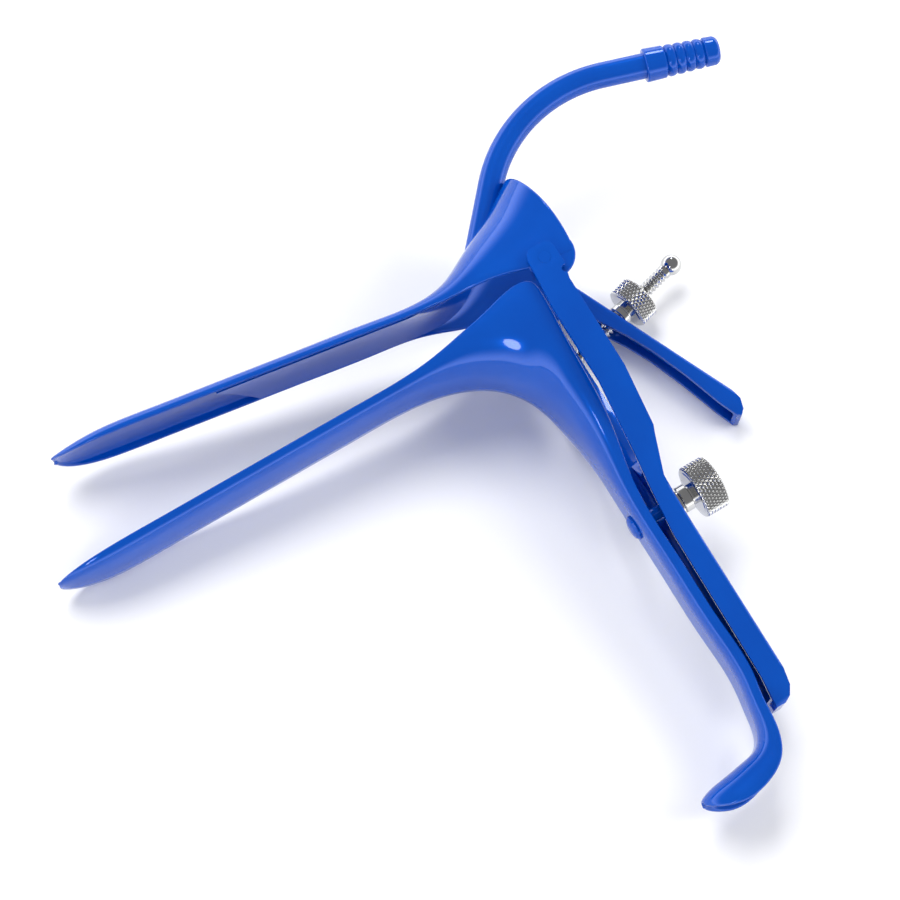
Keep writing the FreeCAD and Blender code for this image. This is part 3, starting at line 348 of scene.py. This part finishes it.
# superellipse from rim to rim, its points evenly spaced: across is half * cos^(2/n) and the depth falls as
# sin^(2/n); bow swells it towards x, times 4 * share up * share left, which is 1 halfway up
def rib(spot, inside):
    floor = np.array([*spot["floor"], 0.0])
    inward = np.array([*spot["rim"], 0.0]) - floor
    depth = np.linalg.norm(inward)
    inward = inward / depth
    draw = spot["draw"] if inside else 0.0
    if inside:
        floor = floor + np.array([*spot["shift"], 0.0])
    power = 2.0 / spot["square"]
    turn = np.linspace(0.0, math.pi, sheet["fineSteps"] + 1)
    rise = depth - (depth - draw) * np.abs(np.sin(turn)) ** power
    fine = floor + inward * rise[:, None]
    fine[:, 0] += 4.0 * spot["bow"] * (rise / depth) * (1.0 - rise / depth)
    fine[:, 2] = np.sign(np.cos(turn)) * np.abs(np.cos(turn)) ** power * (spot["half"] - draw)
    lengths = np.concatenate([[0.0], np.cumsum(np.linalg.norm(np.diff(fine, axis=0), axis=1))])
    wanted = np.linspace(0.0, lengths[-1], sheet["ribSteps"] + 1)
    return fine[np.abs(lengths[None, :] - wanted[:, None]).argmin(axis=1)]


def unit(vectors):
    return vectors / np.maximum(np.linalg.norm(vectors, axis=-1, keepdims=True), shortest)


# shares along a trough, which stop short of both ends by the lip's inset and lie closer together there
def sharesAlong(along, outer, rows):
    probe = np.linspace(0.0, 1.0, sheet["probes"])
    middle = alongCurves(along, outer[:, outer.shape[1] // 2], probe)
    length = np.concatenate([[0.0], np.cumsum(np.linalg.norm(np.diff(middle, axis=0), axis=1))])
    first = np.interp(lip["inset"], length, probe)
    last = np.interp(length[-1] - lip["inset"], length, probe)
    even = np.linspace(0.0, 1.0, rows)
    ease = sheet["even"] * even + (1.0 - sheet["even"]) * (1.0 - np.cos(math.pi * even)) / 2.0
    return first + (last - first) * ease


# half-round bead along the sheet's whole edge: middle of the wall + half the wall * cos + outwards * sin,
# along one closed path of left side, front end, right side and rear end, turning evenly at each corner
def lipGrid(outside, inside):
    middle = (outside + inside) / 2.0
    sides = [
        (outside[::-1, 0], inside[::-1, 0], unit(middle[:, 0] - middle[:, 1])[::-1]),
        (outside[0], inside[0], unit(middle[0] - middle[1])),
        (outside[:, -1], inside[:, -1], unit(middle[:, -1] - middle[:, -2])),
        (outside[-1, ::-1], inside[-1, ::-1], unit(middle[-1] - middle[-2])[::-1]),
    ]
    share = np.linspace(0.0, 1.0, lip["cornerSteps"] + 2)[1:-1, None]
    corner = np.ones((lip["cornerSteps"], 1))
    path = []
    for index, (out, into, way) in enumerate(sides):
        nextWay = sides[(index + 1) % len(sides)][2]
        path.append((out, into, way))
        path.append((out[-1] * corner, into[-1] * corner, unit(way[-1] * (1.0 - share) + nextWay[0] * share)))
    out, into, way = [np.concatenate(parts) for parts in zip(*path)]
    half = (out - into) / 2.0
    reach = np.minimum(np.linalg.norm(half, axis=1), lip["inset"])[:, None]
    turns = np.linspace(0.0, math.pi, lip["steps"] + 1)
    bead = [(out + into) / 2.0 + half * math.cos(turn) + way * reach * math.sin(turn) for turn in turns]
    return np.stack(bead, axis=1)


# outer skin, inner skin and the lip that joins them
def troughGrids(stations, rows):
    outer = np.array([rib(spot, False) for spot in stations])
    inner = np.array([rib(spot, True) for spot in stations])
    spans = np.linalg.norm(np.diff(outer, axis=0), axis=2).sum(axis=1)
    along = np.concatenate([[0.0], np.cumsum(spans)])
    along = along / along[-1]
    wanted = sharesAlong(along, outer, rows)
    skins = []
    for ribs in (outer, inner):
        dense = alongCurves(along, ribs, wanted)
        girth = np.linalg.norm(np.diff(dense, axis=1), axis=2).sum(axis=1)
        inset = np.minimum(lip["inset"] / girth, lip["most"])[:, None]
        shares = inset + (1.0 - 2.0 * inset) * np.linspace(0.0, 1.0, sheet["columns"])[None, :]
        skins.append(acrossCurves(dense, shares))
    return [(skins[0], False, False), (skins[1], False, False), (lipGrid(*skins), True, False)]


def mix(low, high, share):
    return low + (high - low) * share


# What both blades share: the tip is a trough that narrows as a quarter circle and grows shallow
blade = {
    "half": 10.0,
    "depth": 3.8,
    "square": 2.5,
    "bell": 18.0,
    "bellSquare": 2.3,
    "tip": 19.0,
    "tipShares": (0.01, 0.06, 0.18, 0.38, 0.66, 1.0),
    "tipDepth": 0.22,
    "tipFade": 0.35,
    "tipCurl": 1.5,
    "straightShares": (0.12, 0.35, 0.62, 0.86),
}


# rounded tip: the width's share is the root of 1 - (1 - share)^2, and the depth follows it twice over
def tipStations(reach, edge, side, turnUp):
    rows = []
    for share in blade["tipShares"]:
        full = math.sqrt(1.0 - (1.0 - share) ** 2)
        normal = np.array([(1.0 - share) / blade["tip"], full / blade["half"]])
        normal = normal / np.linalg.norm(normal) * wall
        depth = blade["depth"] * mix(blade["tipDepth"], 1.0, full) * mix(blade["tipFade"], 1.0, full)
        rim = edge + turnUp * blade["depth"] * (1.0 - full) ** blade["tipCurl"]
        x = -reach + blade["tip"] * share
        width = blade["half"] * full
        shift = (normal[0], 0.0)
        rows.append(station((x, rim - side * depth), (x, rim), width, blade["square"], normal[1], shift))
    return rows


def straightStations(start, end, floor, edge, shares):
    places = [mix(start, end, share) for share in shares]
    return [station((x, floor), (x, edge), blade["half"], blade["square"]) for x in places]


# Lower blade, bend, handle and hook
lower = {
    "reach": 136.4,
    "edge": -5.6,
    "tipUp": 0.1,
    "bend": -46.0,
    "bendDrop": 0.1,
    "bellGap": 0.2,
    "front": -12.6,
    "grip": 8.0,
    "gripDepth": 3.8,
    "gripSquare": 4.2,
    "gripLevels": (-61.0, -76.0, -92.0, -107.0),
    "hookLevel": -117.3,
    "hookDepth": 7.6,
    "rows": 320,
}

# share of the way to the handle, the floor's level, the rims' place and rise, share of flare, squareness
bendTable = [
    (0.300, -10.6, -35.0, 0.4, 0.16, 2.4),
    (0.524, -13.0, -25.5, 1.6, 0.44, 2.3),
    (0.689, -16.3, -16.5, 3.1, 0.72, 2.3),
    (0.808, -20.6, -8.5, 4.2, 0.94, 2.3),
    (0.853, -23.0, -5.4, 3.0, 1.00, 2.3),
    (0.889, -25.6, -4.6, -0.9, 1.00, 2.3),
]

# the same, but with the rims' own level, where the flare closes into the handle
throatTable = [
    (0.940, -31.5, -5.4, -20.0, 0.92, 2.3),
    (0.976, -38.5, -5.6, -33.0, 0.66, 2.4),
    (0.997, -46.0, -6.6, -44.0, 0.30, 2.8),
    (1.000, -53.0, -8.0, -52.5, 0.08, 3.5),
]

# place from the handle's front and from the hook's level, the channel's heading, shares of its depth and
# width, squareness and share of the wall
hookTable = [
    (-1.1, 4.0, -2.0, 0.49, 1.00, 3.8, 1.0),
    (-2.2, -0.8, -22.0, 0.58, 1.00, 3.4, 1.0),
    (-4.6, -4.1, -50.0, 0.78, 1.01, 3.0, 1.0),
    (-9.0, -5.3, -73.0, 0.97, 1.04, 2.8, 1.0),
    (-13.6, -6.0, -85.0, 0.96, 1.02, 2.6, 1.0),
    (-17.4, -6.5, -91.0, 0.74, 0.84, 2.4, 0.9),
    (-20.2, -7.3, -95.0, 0.42, 0.54, 2.3, 0.6),
    (-21.6, -8.2, -98.0, 0.12, 0.16, 2.2, 0.25),
]


def lowerStations():
    edge = lower["edge"]
    start = lower["bend"]
    front = lower["front"]
    grip = lower["grip"]
    bell = blade["bell"] - lower["bellGap"]
    floor = edge - blade["depth"]
    rows = tipStations(lower["reach"], edge, 1.0, lower["tipUp"])
    rows += straightStations(-lower["reach"] + blade["tip"], start, floor, edge, blade["straightShares"])
    rows.append(station((start, floor - lower["bendDrop"]), (start, edge), blade["half"], blade["square"]))
    for share, level, rimX, rise, flare, square in bendTable:
        spot = (mix(start, front, share), level)
        rows.append(station(spot, (rimX, edge + rise), mix(blade["half"], bell, flare), square))
    for share, level, rimX, rimY, flare, square in throatTable:
        rows.append(station((mix(start, front, share), level), (rimX, rimY), mix(grip, bell, flare), square))
    for level in lower["gripLevels"]:
        rows.append(station((front, level), (front + lower["gripDepth"], level), grip, lower["gripSquare"]))
    for ahead, drop, heading, share, width, square, thin in hookTable:
        x = front + ahead
        y = lower["hookLevel"] + drop
        turn = math.radians(heading)
        reach = lower["hookDepth"] * share
        rim = (x + math.cos(turn) * reach, y + math.sin(turn) * reach)
        shift = (wall * math.sqrt(1.0 - thin**2), 0.0)
        rows.append(station((x, y), rim, grip * width, square, wall * thin, shift))
    return rows


lowerGrids = troughGrids(lowerStations(), lower["rows"])
addPiece("lowerBlade", lowerGrids, toTable, blueCoat, "lower", "lower_blade")
print("lower blade built")

# Upper blade with its bell and its two round ears, built closed and laid open
upper = {"reach": 125.4, "edge": 1.9, "tipUp": 0.55, "root": -33.0, "rimHeight": 27.9, "rows": 260}

# place of the floor and its share of the rise to the rim, the rims' place and drop, share of flare, bow
bellTable = [
    (-27.0, 0.04, -26.5, 0.3, 0.22, 0.0),
    (-22.0, 0.13, -20.5, 0.7, 0.55, 0.0),
    (-17.2, 0.29, -14.5, 0.9, 0.80, 0.2),
    (-12.0, 0.465, -8.5, 1.5, 0.95, 0.5),
    (-6.5, 0.645, -3.0, 2.4, 1.00, 0.8),
    (-2.4, 0.82, 2.7, 2.4, 1.00, 1.2),
    (1.9, 1.0, 7.5, 2.2, 1.00, 1.7),
]


def upperStations():
    edge = upper["edge"]
    roof = edge + blade["depth"]
    rows = tipStations(upper["reach"], edge, -1.0, upper["tipUp"])
    shares = (*blade["straightShares"], 1.0)
    rows += straightStations(-upper["reach"] + blade["tip"], upper["root"], roof, edge, shares)
    for x, rise, rimX, drop, flare, bow in bellTable:
        spot = (x, mix(roof, upper["rimHeight"], rise))
        half = mix(blade["half"], blade["bell"], flare)
        rows.append(station(spot, (rimX, edge - drop), half, blade["bellSquare"], bow=bow))
    return rows


ear = {
    "x": 1.9,
    "y": 1.1,
    "radius": 6.1,
    "round": 0.45,
    "rings": 26,
    "roundSteps": 8,
    "around": 120,
    "bellEdge": -0.6,
    "bellDepth": 25.0,
    "mostDepth": 0.9,
    "sunk": 0.12,
    "clear": 0.03,
    "thinner": 0.1,
}


# round ear: a disc with a rounded edge, whose face follows the bell's wall; half the bell's width there is
# half * (1 - (height / depth)^n)^(1/n), with the height counted from the bell's edge
def earGrid(side):
    profile = np.linspace(0.0, 1.0, ear["rings"])
    turn = np.linspace(0.0, fullTurn, ear["around"], endpoint=False)
    rounding = np.linspace(0.0, math.pi, ear["roundSteps"] + 1)[1:-1]
    radius = ear["radius"] - ear["round"]
    edge = radius + ear["round"] * np.sin(rounding)
    reach = np.concatenate([radius * profile, edge, radius * profile[::-1]])
    depth = np.concatenate([np.zeros(ear["rings"]), (1.0 - np.cos(rounding)) / 2.0, np.ones(ear["rings"])])
    x = ear["x"] + reach[:, None] * np.cos(turn)
    y = ear["y"] + reach[:, None] * np.sin(turn)
    above = np.clip((y - ear["bellEdge"]) / ear["bellDepth"], 0.0, ear["mostDepth"])
    power = blade["bellSquare"]
    face = blade["bell"] * (1.0 - above**power) ** (1.0 / power) - ear["sunk"]
    z = np.minimum(face, blade["bell"] - ear["clear"]) - depth[:, None] * (wall - ear["thinner"])
    return np.stack([x, y, z * side], axis=2)


upperGrids = troughGrids(upperStations(), upper["rows"])
upperGrids += [(earGrid(side), False, True) for side in (1.0, -1.0)]
addPiece("upperBlade", upperGrids, opened, blueCoat, "upper", "upper_blade")
print("upper blade built")

# Turned pieces are a profile spun about the piece's own x axis


# a profile is rows of distance along and radius; each point turns to radius * cos and radius * sin, and cut,
# where there is one, gives what the radius gains at a distance along and an angle
def spun(profile, around, cut=None):
    turn = np.linspace(0.0, fullTurn, around, endpoint=False)
    along = np.repeat(profile[:, :1], around, axis=1)
    radius = np.repeat(profile[:, 1:], around, axis=1)
    if cut:
        radius = np.where(radius > 0.0, radius + cut(along, turn), 0.0)
    return np.stack([along, radius * np.cos(turn), radius * np.sin(turn)], axis=2)


# straight lines between corners, cut into steps no longer than the one given
def densely(corners, step):
    corners = np.array(corners, float)
    parts = []
    for start, end in zip(corners[:-1], corners[1:]):
        count = max(1, math.ceil(np.linalg.norm(end - start) / step))
        parts.append(start + (end - start) * np.linspace(0.0, 1.0, count, endpoint=False)[:, None])
    parts.append(corners[-1:])
    return np.concatenate(parts)


# wave that falls to 0 at whole numbers and rises to 1 between them
def triangle(phase):
    return 1.0 - np.abs(2.0 * (phase - np.floor(phase)) - 1.0)


# Knurled nuts: smooth hub, narrow neck and a disc with a raised boss on each face
clampNut = {
    "hubRadius": 3.3,
    "hubLength": 2.6,
    "discRadius": 6.7,
    "discLength": 6.4,
    "bore": 2.08,
    "spineRear": -1.7,
    "gaps": 0.3,  # before and behind the washer
    "washer": 1.1,
    "y": -62.8,
}
adjustingNut = {"hubRadius": 2.95, "hubLength": 1.9, "discRadius": 5.9, "discLength": 5.5, "bore": 1.98}
nutShape = {
    "neckRadius": 2.6,
    "neckLength": 1.2,
    "chamfer": 0.4,
    "chamferDrop": 0.05,
    "nose": ((0.0, 0.7), (0.2, 0.25), (0.49, 0.0)),
    "hubChamfer": 0.15,
    "boss": 0.12,
    "bossFoot": 0.7,
    "bossTop": 0.9,
    "boreChamfer": 0.3,
    "spacing": 0.35,
    "sharp": 38,
}
knurl = {"pitch": 1.0, "stretch": 1.6, "depth": 0.30, "flat": 0.75, "samples": 10}


# profile from the bore along the outside and back through the bore; the knurl is two crossing sets of
# helical grooves, the lower of two triangle waves of the turn plus and less the distance along, cut flat
def nutGrid(nut):
    bore = nut["bore"]
    hub = nut["hubRadius"]
    hubEnd = nut["hubLength"]
    neck = nutShape["neckRadius"]
    chamfer = nutShape["chamfer"]
    boss = nutShape["boss"]
    disc = hubEnd + nutShape["neckLength"]
    end = disc + nut["discLength"]
    crest = nut["discRadius"] - nutShape["chamferDrop"]
    rim = nut["discRadius"] - chamfer
    foot = rim - nutShape["bossFoot"]
    top = rim - nutShape["bossTop"]
    front = [(0.0, bore), *[(along, hub - drop) for along, drop in nutShape["nose"]]]
    front += [(hubEnd - nutShape["hubChamfer"], hub), (hubEnd, hub - nutShape["hubChamfer"]), (hubEnd, neck)]
    front += [(disc, neck), (disc, top), (disc + boss, foot), (disc + boss, rim), (disc + chamfer, crest)]
    rear = [(end - chamfer, crest), (end - boss, rim), (end - boss, foot), (end, top)]
    rear += [(end, bore + nutShape["boreChamfer"]), (end - nutShape["boreChamfer"], bore), (0.0, bore)]
    middle = densely([front[-1], rear[0]], knurl["pitch"] / knurl["samples"])[1:]
    profile = [densely(front, nutShape["spacing"]), middle, densely(rear, nutShape["spacing"])[1:]]
    profile = np.concatenate(profile)
    onDisc = np.clip((profile[:, 1:] - rim) / (chamfer - nutShape["chamferDrop"]), 0.0, 1.0)
    count = round(fullTurn * nut["discRadius"] / knurl["pitch"])

    def cut(along, turn):
        share = count * turn / fullTurn
        lean = (along - disc) / (knurl["pitch"] * knurl["stretch"])
        grooves = np.minimum(triangle(share + lean), triangle(share - lean))
        raised = np.minimum(grooves, knurl["flat"]) / knurl["flat"]
        return onDisc * (raised - 1.0) * knurl["depth"]

    return spun(profile, count * knurl["samples"], cut)


def addNut(name, nut, matrix, nodeName):
    addPiece(name, [(nutGrid(nut), False, True)], matrix, brightNickel, nodeName, nodeName, nutShape["sharp"])


clampX = clampNut["spineRear"] + clampNut["gaps"] + clampNut["washer"]
addNut("clampNut", clampNut, frameAt(clampX, clampNut["y"], 0.0, 0.0, toTable), "clamp_nut")

rod = {"x": -7.4, "y": -17.3, "z": -22.8, "lean": 15.0, "length": 45.0, "radius": 1.9, "seat": 25.2}
rodFrame = frameAt(rod["x"], rod["y"], rod["z"], rod["lean"], toTable)
addNut("adjustingNut", adjustingNut, frameAt(rod["seat"], 0.0, 0.0, 0.0, rodFrame), "adjusting_nut")

# Threaded rod with a flat eye at its foot, and the ball on its end
thread = {
    "pitch": 1.2,
    "depth": 0.45,
    "crest": 1.25,
    "samples": 12,
    "around": 48,
    "start": 5.5,
    "startFade": 0.8,
    "end": 42.2,
    "endFade": 0.6,
    "foot": ((2.4, 0.0), (2.4, 1.35), (3.3, 1.42)),
    "footSpacing": 0.4,
    "shank": (4.3, 42.8),
    "sharp": 35,
}
eye = {"radius": 3.3, "height": 2.6, "bore": 1.38, "round": 0.35, "roundSteps": 4, "around": 64}
ball = {"radius": 2.7, "steps": 48, "around": 96}


# radius falls along a helix: a triangle wave of the distance along over the pitch less the turn, faded out
# at both ends of the thread
def threadGrid():
    start, end = [(along, rod["radius"]) for along in thread["shank"]]
    foot = densely([*thread["foot"], start], thread["footSpacing"])[:-1]
    shank = densely([start, end], thread["pitch"] / thread["samples"])
    profile = np.concatenate([foot, shank, [(end[0], 0.0)]])

    def cut(along, turn):
        fade = np.clip((along - thread["start"]) / thread["startFade"], 0.0, 1.0)
        fade = fade * np.clip((thread["end"] - along) / thread["endFade"], 0.0, 1.0)
        wave = triangle(along / thread["pitch"] - turn / fullTurn)
        return -fade * thread["depth"] * (1.0 - np.minimum(wave * thread["crest"], 1.0))

    return spun(profile, thread["around"], cut)


# disc about the rod's own z with a hole and quarter-round edges, each point at radius * cos, radius * sin
def eyeGrid():
    high = eye["height"] / 2.0
    edge = eye["round"]
    turn = np.linspace(0.0, math.pi / 2.0, eye["roundSteps"] + 1)
    across = eye["radius"] - edge + edge * np.sin(turn)
    rounded = np.stack([across, high - edge + edge * np.cos(turn)], axis=1)
    profile = [[(eye["bore"], high)], rounded, rounded[::-1] * (1, -1), [(eye["bore"], -high)]]
    profile = np.concatenate(profile)
    angle = np.linspace(0.0, fullTurn, eye["around"], endpoint=False)
    height = np.repeat(profile[:, 1:], eye["around"], axis=1)
    return np.stack([profile[:, :1] * np.cos(angle), profile[:, :1] * np.sin(angle), height], axis=2)


# half circle from pole to pole, its two ends exactly on the axis
def ballGrid():
    turn = np.linspace(0.0, math.pi, ball["steps"] + 1)
    profile = np.stack([rod["length"] - ball["radius"] * np.cos(turn), ball["radius"] * np.sin(turn)], axis=1)
    profile[[0, -1], 1] = 0.0
    return spun(profile, ball["around"])


rodGrids = [(threadGrid(), False, True), (eyeGrid(), True, True)]
addPiece("adjustingRod", rodGrids, rodFrame, brightNickel, "rod", "adjusting_rod", thread["sharp"])
addPiece("rodBall", [(ballGrid(), False, True)], rodFrame, brightNickel, "rod", "rod_ball")
print("nuts and rod built")

# Hose barb at the end of the smoke tube: collar, sleeve and five round grooves, then a blunt nose
tube = {"x": -12.6, "y": 11.4, "rise": 21.0, "riseAngle": 57.0, "bend": 37.0, "fall": -9.0, "run": 10.8}
barb = {
    "length": 19.2,
    "radius": 4.3,
    "bore": 2.0,
    "collar": 0.45,
    "first": 5.5,
    "pitch": 2.4,
    "grooves": 5,
    "depth": 0.62,
    "sharpness": 0.55,
    "runOut": 0.3,
    "taper": 0.035,
    "nose": 1.5,
    "spacing": 0.06,
    "boreSpacing": 1.0,
    "around": 120,
    "sharp": 50,
}


# end of the tube's centre line: a straight rise, a bend of one radius and a short straight run
def tubeEnd():
    rise = math.radians(tube["riseAngle"])
    fall = math.radians(tube["fall"])
    start = np.array([tube["x"], tube["y"]]) + tube["rise"] * np.array([math.cos(rise), math.sin(rise)])
    centre = start + tube["bend"] * np.array([math.sin(rise), -math.cos(rise)])
    turned = centre + tube["bend"] * np.array([-math.sin(fall), math.cos(fall)])
    return turned + tube["run"] * np.array([math.cos(fall), math.sin(fall)])


# the crest falls slowly along the barb; it dips by depth * (1 - |sin|^sharpness) between the first and last
# groove, runs out as a bell curve beyond them, and a quarter circle rounds each end
def barbGrid():
    first = barb["first"]
    last = first + barb["pitch"] * (barb["grooves"] - 1)
    nose = barb["nose"]
    collar = barb["collar"]
    x = np.arange(0.0, barb["length"] + barb["spacing"] / 2.0, barb["spacing"])
    dip = 1.0 - np.abs(np.sin(math.pi * (x - first) / barb["pitch"])) ** barb["sharpness"]
    dip = np.where(x < first, np.exp(-(((x - first) / barb["runOut"]) ** 2)), dip)
    dip = np.where(x > last, np.exp(-(((x - last) / barb["runOut"]) ** 2)), dip)
    radius = barb["radius"] - barb["taper"] * x - barb["depth"] * dip
    fromEnd = np.clip(barb["length"] - x, 0.0, nose)
    radius = radius - nose + np.sqrt(np.maximum(nose**2 - (nose - fromEnd) ** 2, 0.0))
    fromStart = np.clip(collar - x, 0.0, collar)
    radius = radius - collar + np.sqrt(collar**2 - fromStart**2)
    outer = np.stack([x, radius], axis=1)
    inner = densely([(barb["length"], barb["bore"]), (0.0, barb["bore"])], barb["boreSpacing"])
    return spun(np.concatenate([[(0.0, barb["bore"])], outer, inner]), barb["around"])


barbFrame = frameAt(*tubeEnd(), 0.0, tube["fall"], opened)
addPiece("hoseBarb", [(barbGrid(), False, True)], barbFrame, blueCoat, "upper", "hose_barb", barb["sharp"])
print("barb built")

# Flat-faced pieces keep their CAD shape and get softened edges, of these widths in metres
softened = {"yoke": 0.0006, "thumb_lever": 0.0006, "clamp_washer": 0.00018, "clamp_screw": 0.00015}
softening = {"joinWithin": 1e-6, "segments": 3, "sharperThan": 32}


def soften(node, width):
    for polygon in node.data.polygons:
        polygon.use_smooth = True
    join = node.modifiers.new("joinFaces", "WELD")
    join.merge_threshold = softening["joinWithin"]
    bevel = node.modifiers.new("softEdges", "BEVEL")
    bevel.width = width
    bevel.segments = softening["segments"]
    bevel.limit_method = "ANGLE"
    bevel.angle_limit = math.radians(softening["sharperThan"])
    bevel.harden_normals = True
    bevel.use_clamp_overlap = True


for name, width in softened.items():
    soften(frame["nodes"][name], width)
print("edges softened")

# Pale floor, with a grain that is a shade darker
stage = {
    "half": 3.0,
    "colour": (0.96, 0.96, 0.965),
    "shade": 0.985,
    "rough": 0.6,
    "grain": (900.0, 3.0, 0.55),
}


def floorFinish(shades, look):
    low = [part * look["shade"] for part in look["colour"]]
    colour = shades.mixed(shades.noise(look["grain"]), low, look["colour"])
    return {"Base Color": colour, "Roughness": look["rough"]}


half = stage["half"]
floorMesh = bpy.data.meshes.new("floor")
floorCorners = [(-half, -half, 0), (half, -half, 0), (half, half, 0), (-half, half, 0)]
floorMesh.from_pydata(floorCorners, [], [(0, 1, 2, 3)])
floorMesh.materials.append(makeMaterial("paleFloor", floorFinish, stage))
floor = bpy.data.objects.new("floor", floorMesh)
bpy.context.scene.collection.objects.link(floor)

# Studio: white low down and grey overhead, so flat faces stay deep and round ones catch light
studio = {"low": (2.6, 2.6, 2.6), "high": (0.24, 0.24, 0.25), "from": 0.05, "to": 0.50, "strength": 1.0}
world = bpy.data.worlds.new("studio")
world.use_nodes = True
sky = Shades(world.node_tree)
heading = sky.node("ShaderNodeTexCoord", {}, {}, "Generated")
height = sky.node("ShaderNodeSeparateXYZ", {}, {"Vector": heading}, "Z")
fadeSockets = {"Value": height, "From Min": studio["from"], "From Max": studio["to"]}
fade = sky.node("ShaderNodeMapRange", {"interpolation_type": "SMOOTHSTEP"}, fadeSockets, 0)
background = world.node_tree.nodes["Background"]
sky.feed(background.inputs["Color"], sky.mixed(fade, studio["low"], studio["high"]))
sky.feed(background.inputs["Strength"], studio["strength"])
bpy.context.scene.world = world
bpy.context.scene.view_settings.view_transform = "Standard"

# Camera: its place, what it looks at and its right in the instrument's frame (mm), angle in degrees
photo = {
    "eye": (-117.2, -152.5, 539.6),
    "target": (-40.3, -24.1, 0.0),
    "right": (0.858, -0.5135, 0.0),
    "angle": 21.67,
    "near": 0.01,
}
target = place(photo["target"])

# Lamps, in metres and watts: only the small ones show in the glossy faces
lamps = {
    "keyLight": {"spot": (-0.15, 0.55, 1.10), "size": (0.9, 0.6), "power": 10.0, "mirrored": False},
    "fillLight": {"spot": (0.75, -0.35, 0.95), "size": (0.8, 0.6), "power": 6.0, "mirrored": False},
    "rimLight": {"spot": (0.55, 0.85, 0.75), "size": (0.16, 0.30), "power": 1.5, "mirrored": True},
    "sideLight": {"spot": (-0.80, -0.55, 0.70), "size": (0.16, 0.35), "power": 1.5, "mirrored": True},
}


def addLamp(name, settings):
    light = bpy.data.lights.new(name, "AREA")
    light.shape = "ELLIPSE"
    light.size, light.size_y = settings["size"]
    light.energy = settings["power"]
    lamp = bpy.data.objects.new(name, light)
    lamp.location = Vector(settings["spot"])
    lamp.visible_glossy = settings["mirrored"]
    lamp.rotation_euler = (target - lamp.location).to_track_quat("-Z", "Y").to_euler()
    bpy.context.scene.collection.objects.link(lamp)


for name, settings in lamps.items():
    addLamp(name, settings)

eyePlace = place(photo["eye"])
back = (eyePlace - target).normalized()
upWay = back.cross(toTable.to_3x3() @ Vector(photo["right"])).normalized()
rightWay = upWay.cross(back).normalized()
cameraData = bpy.data.cameras.new("camera")
cameraData.sensor_fit = "HORIZONTAL"
cameraData.angle = math.radians(photo["angle"])
cameraData.clip_start = photo["near"]
camera = bpy.data.objects.new("camera", cameraData)
camera.matrix_world = Matrix.Translation(eyePlace) @ Matrix((rightWay, upWay, back)).transposed().to_4x4()
bpy.context.scene.collection.objects.link(camera)
bpy.context.scene.camera = camera
print("stage set")
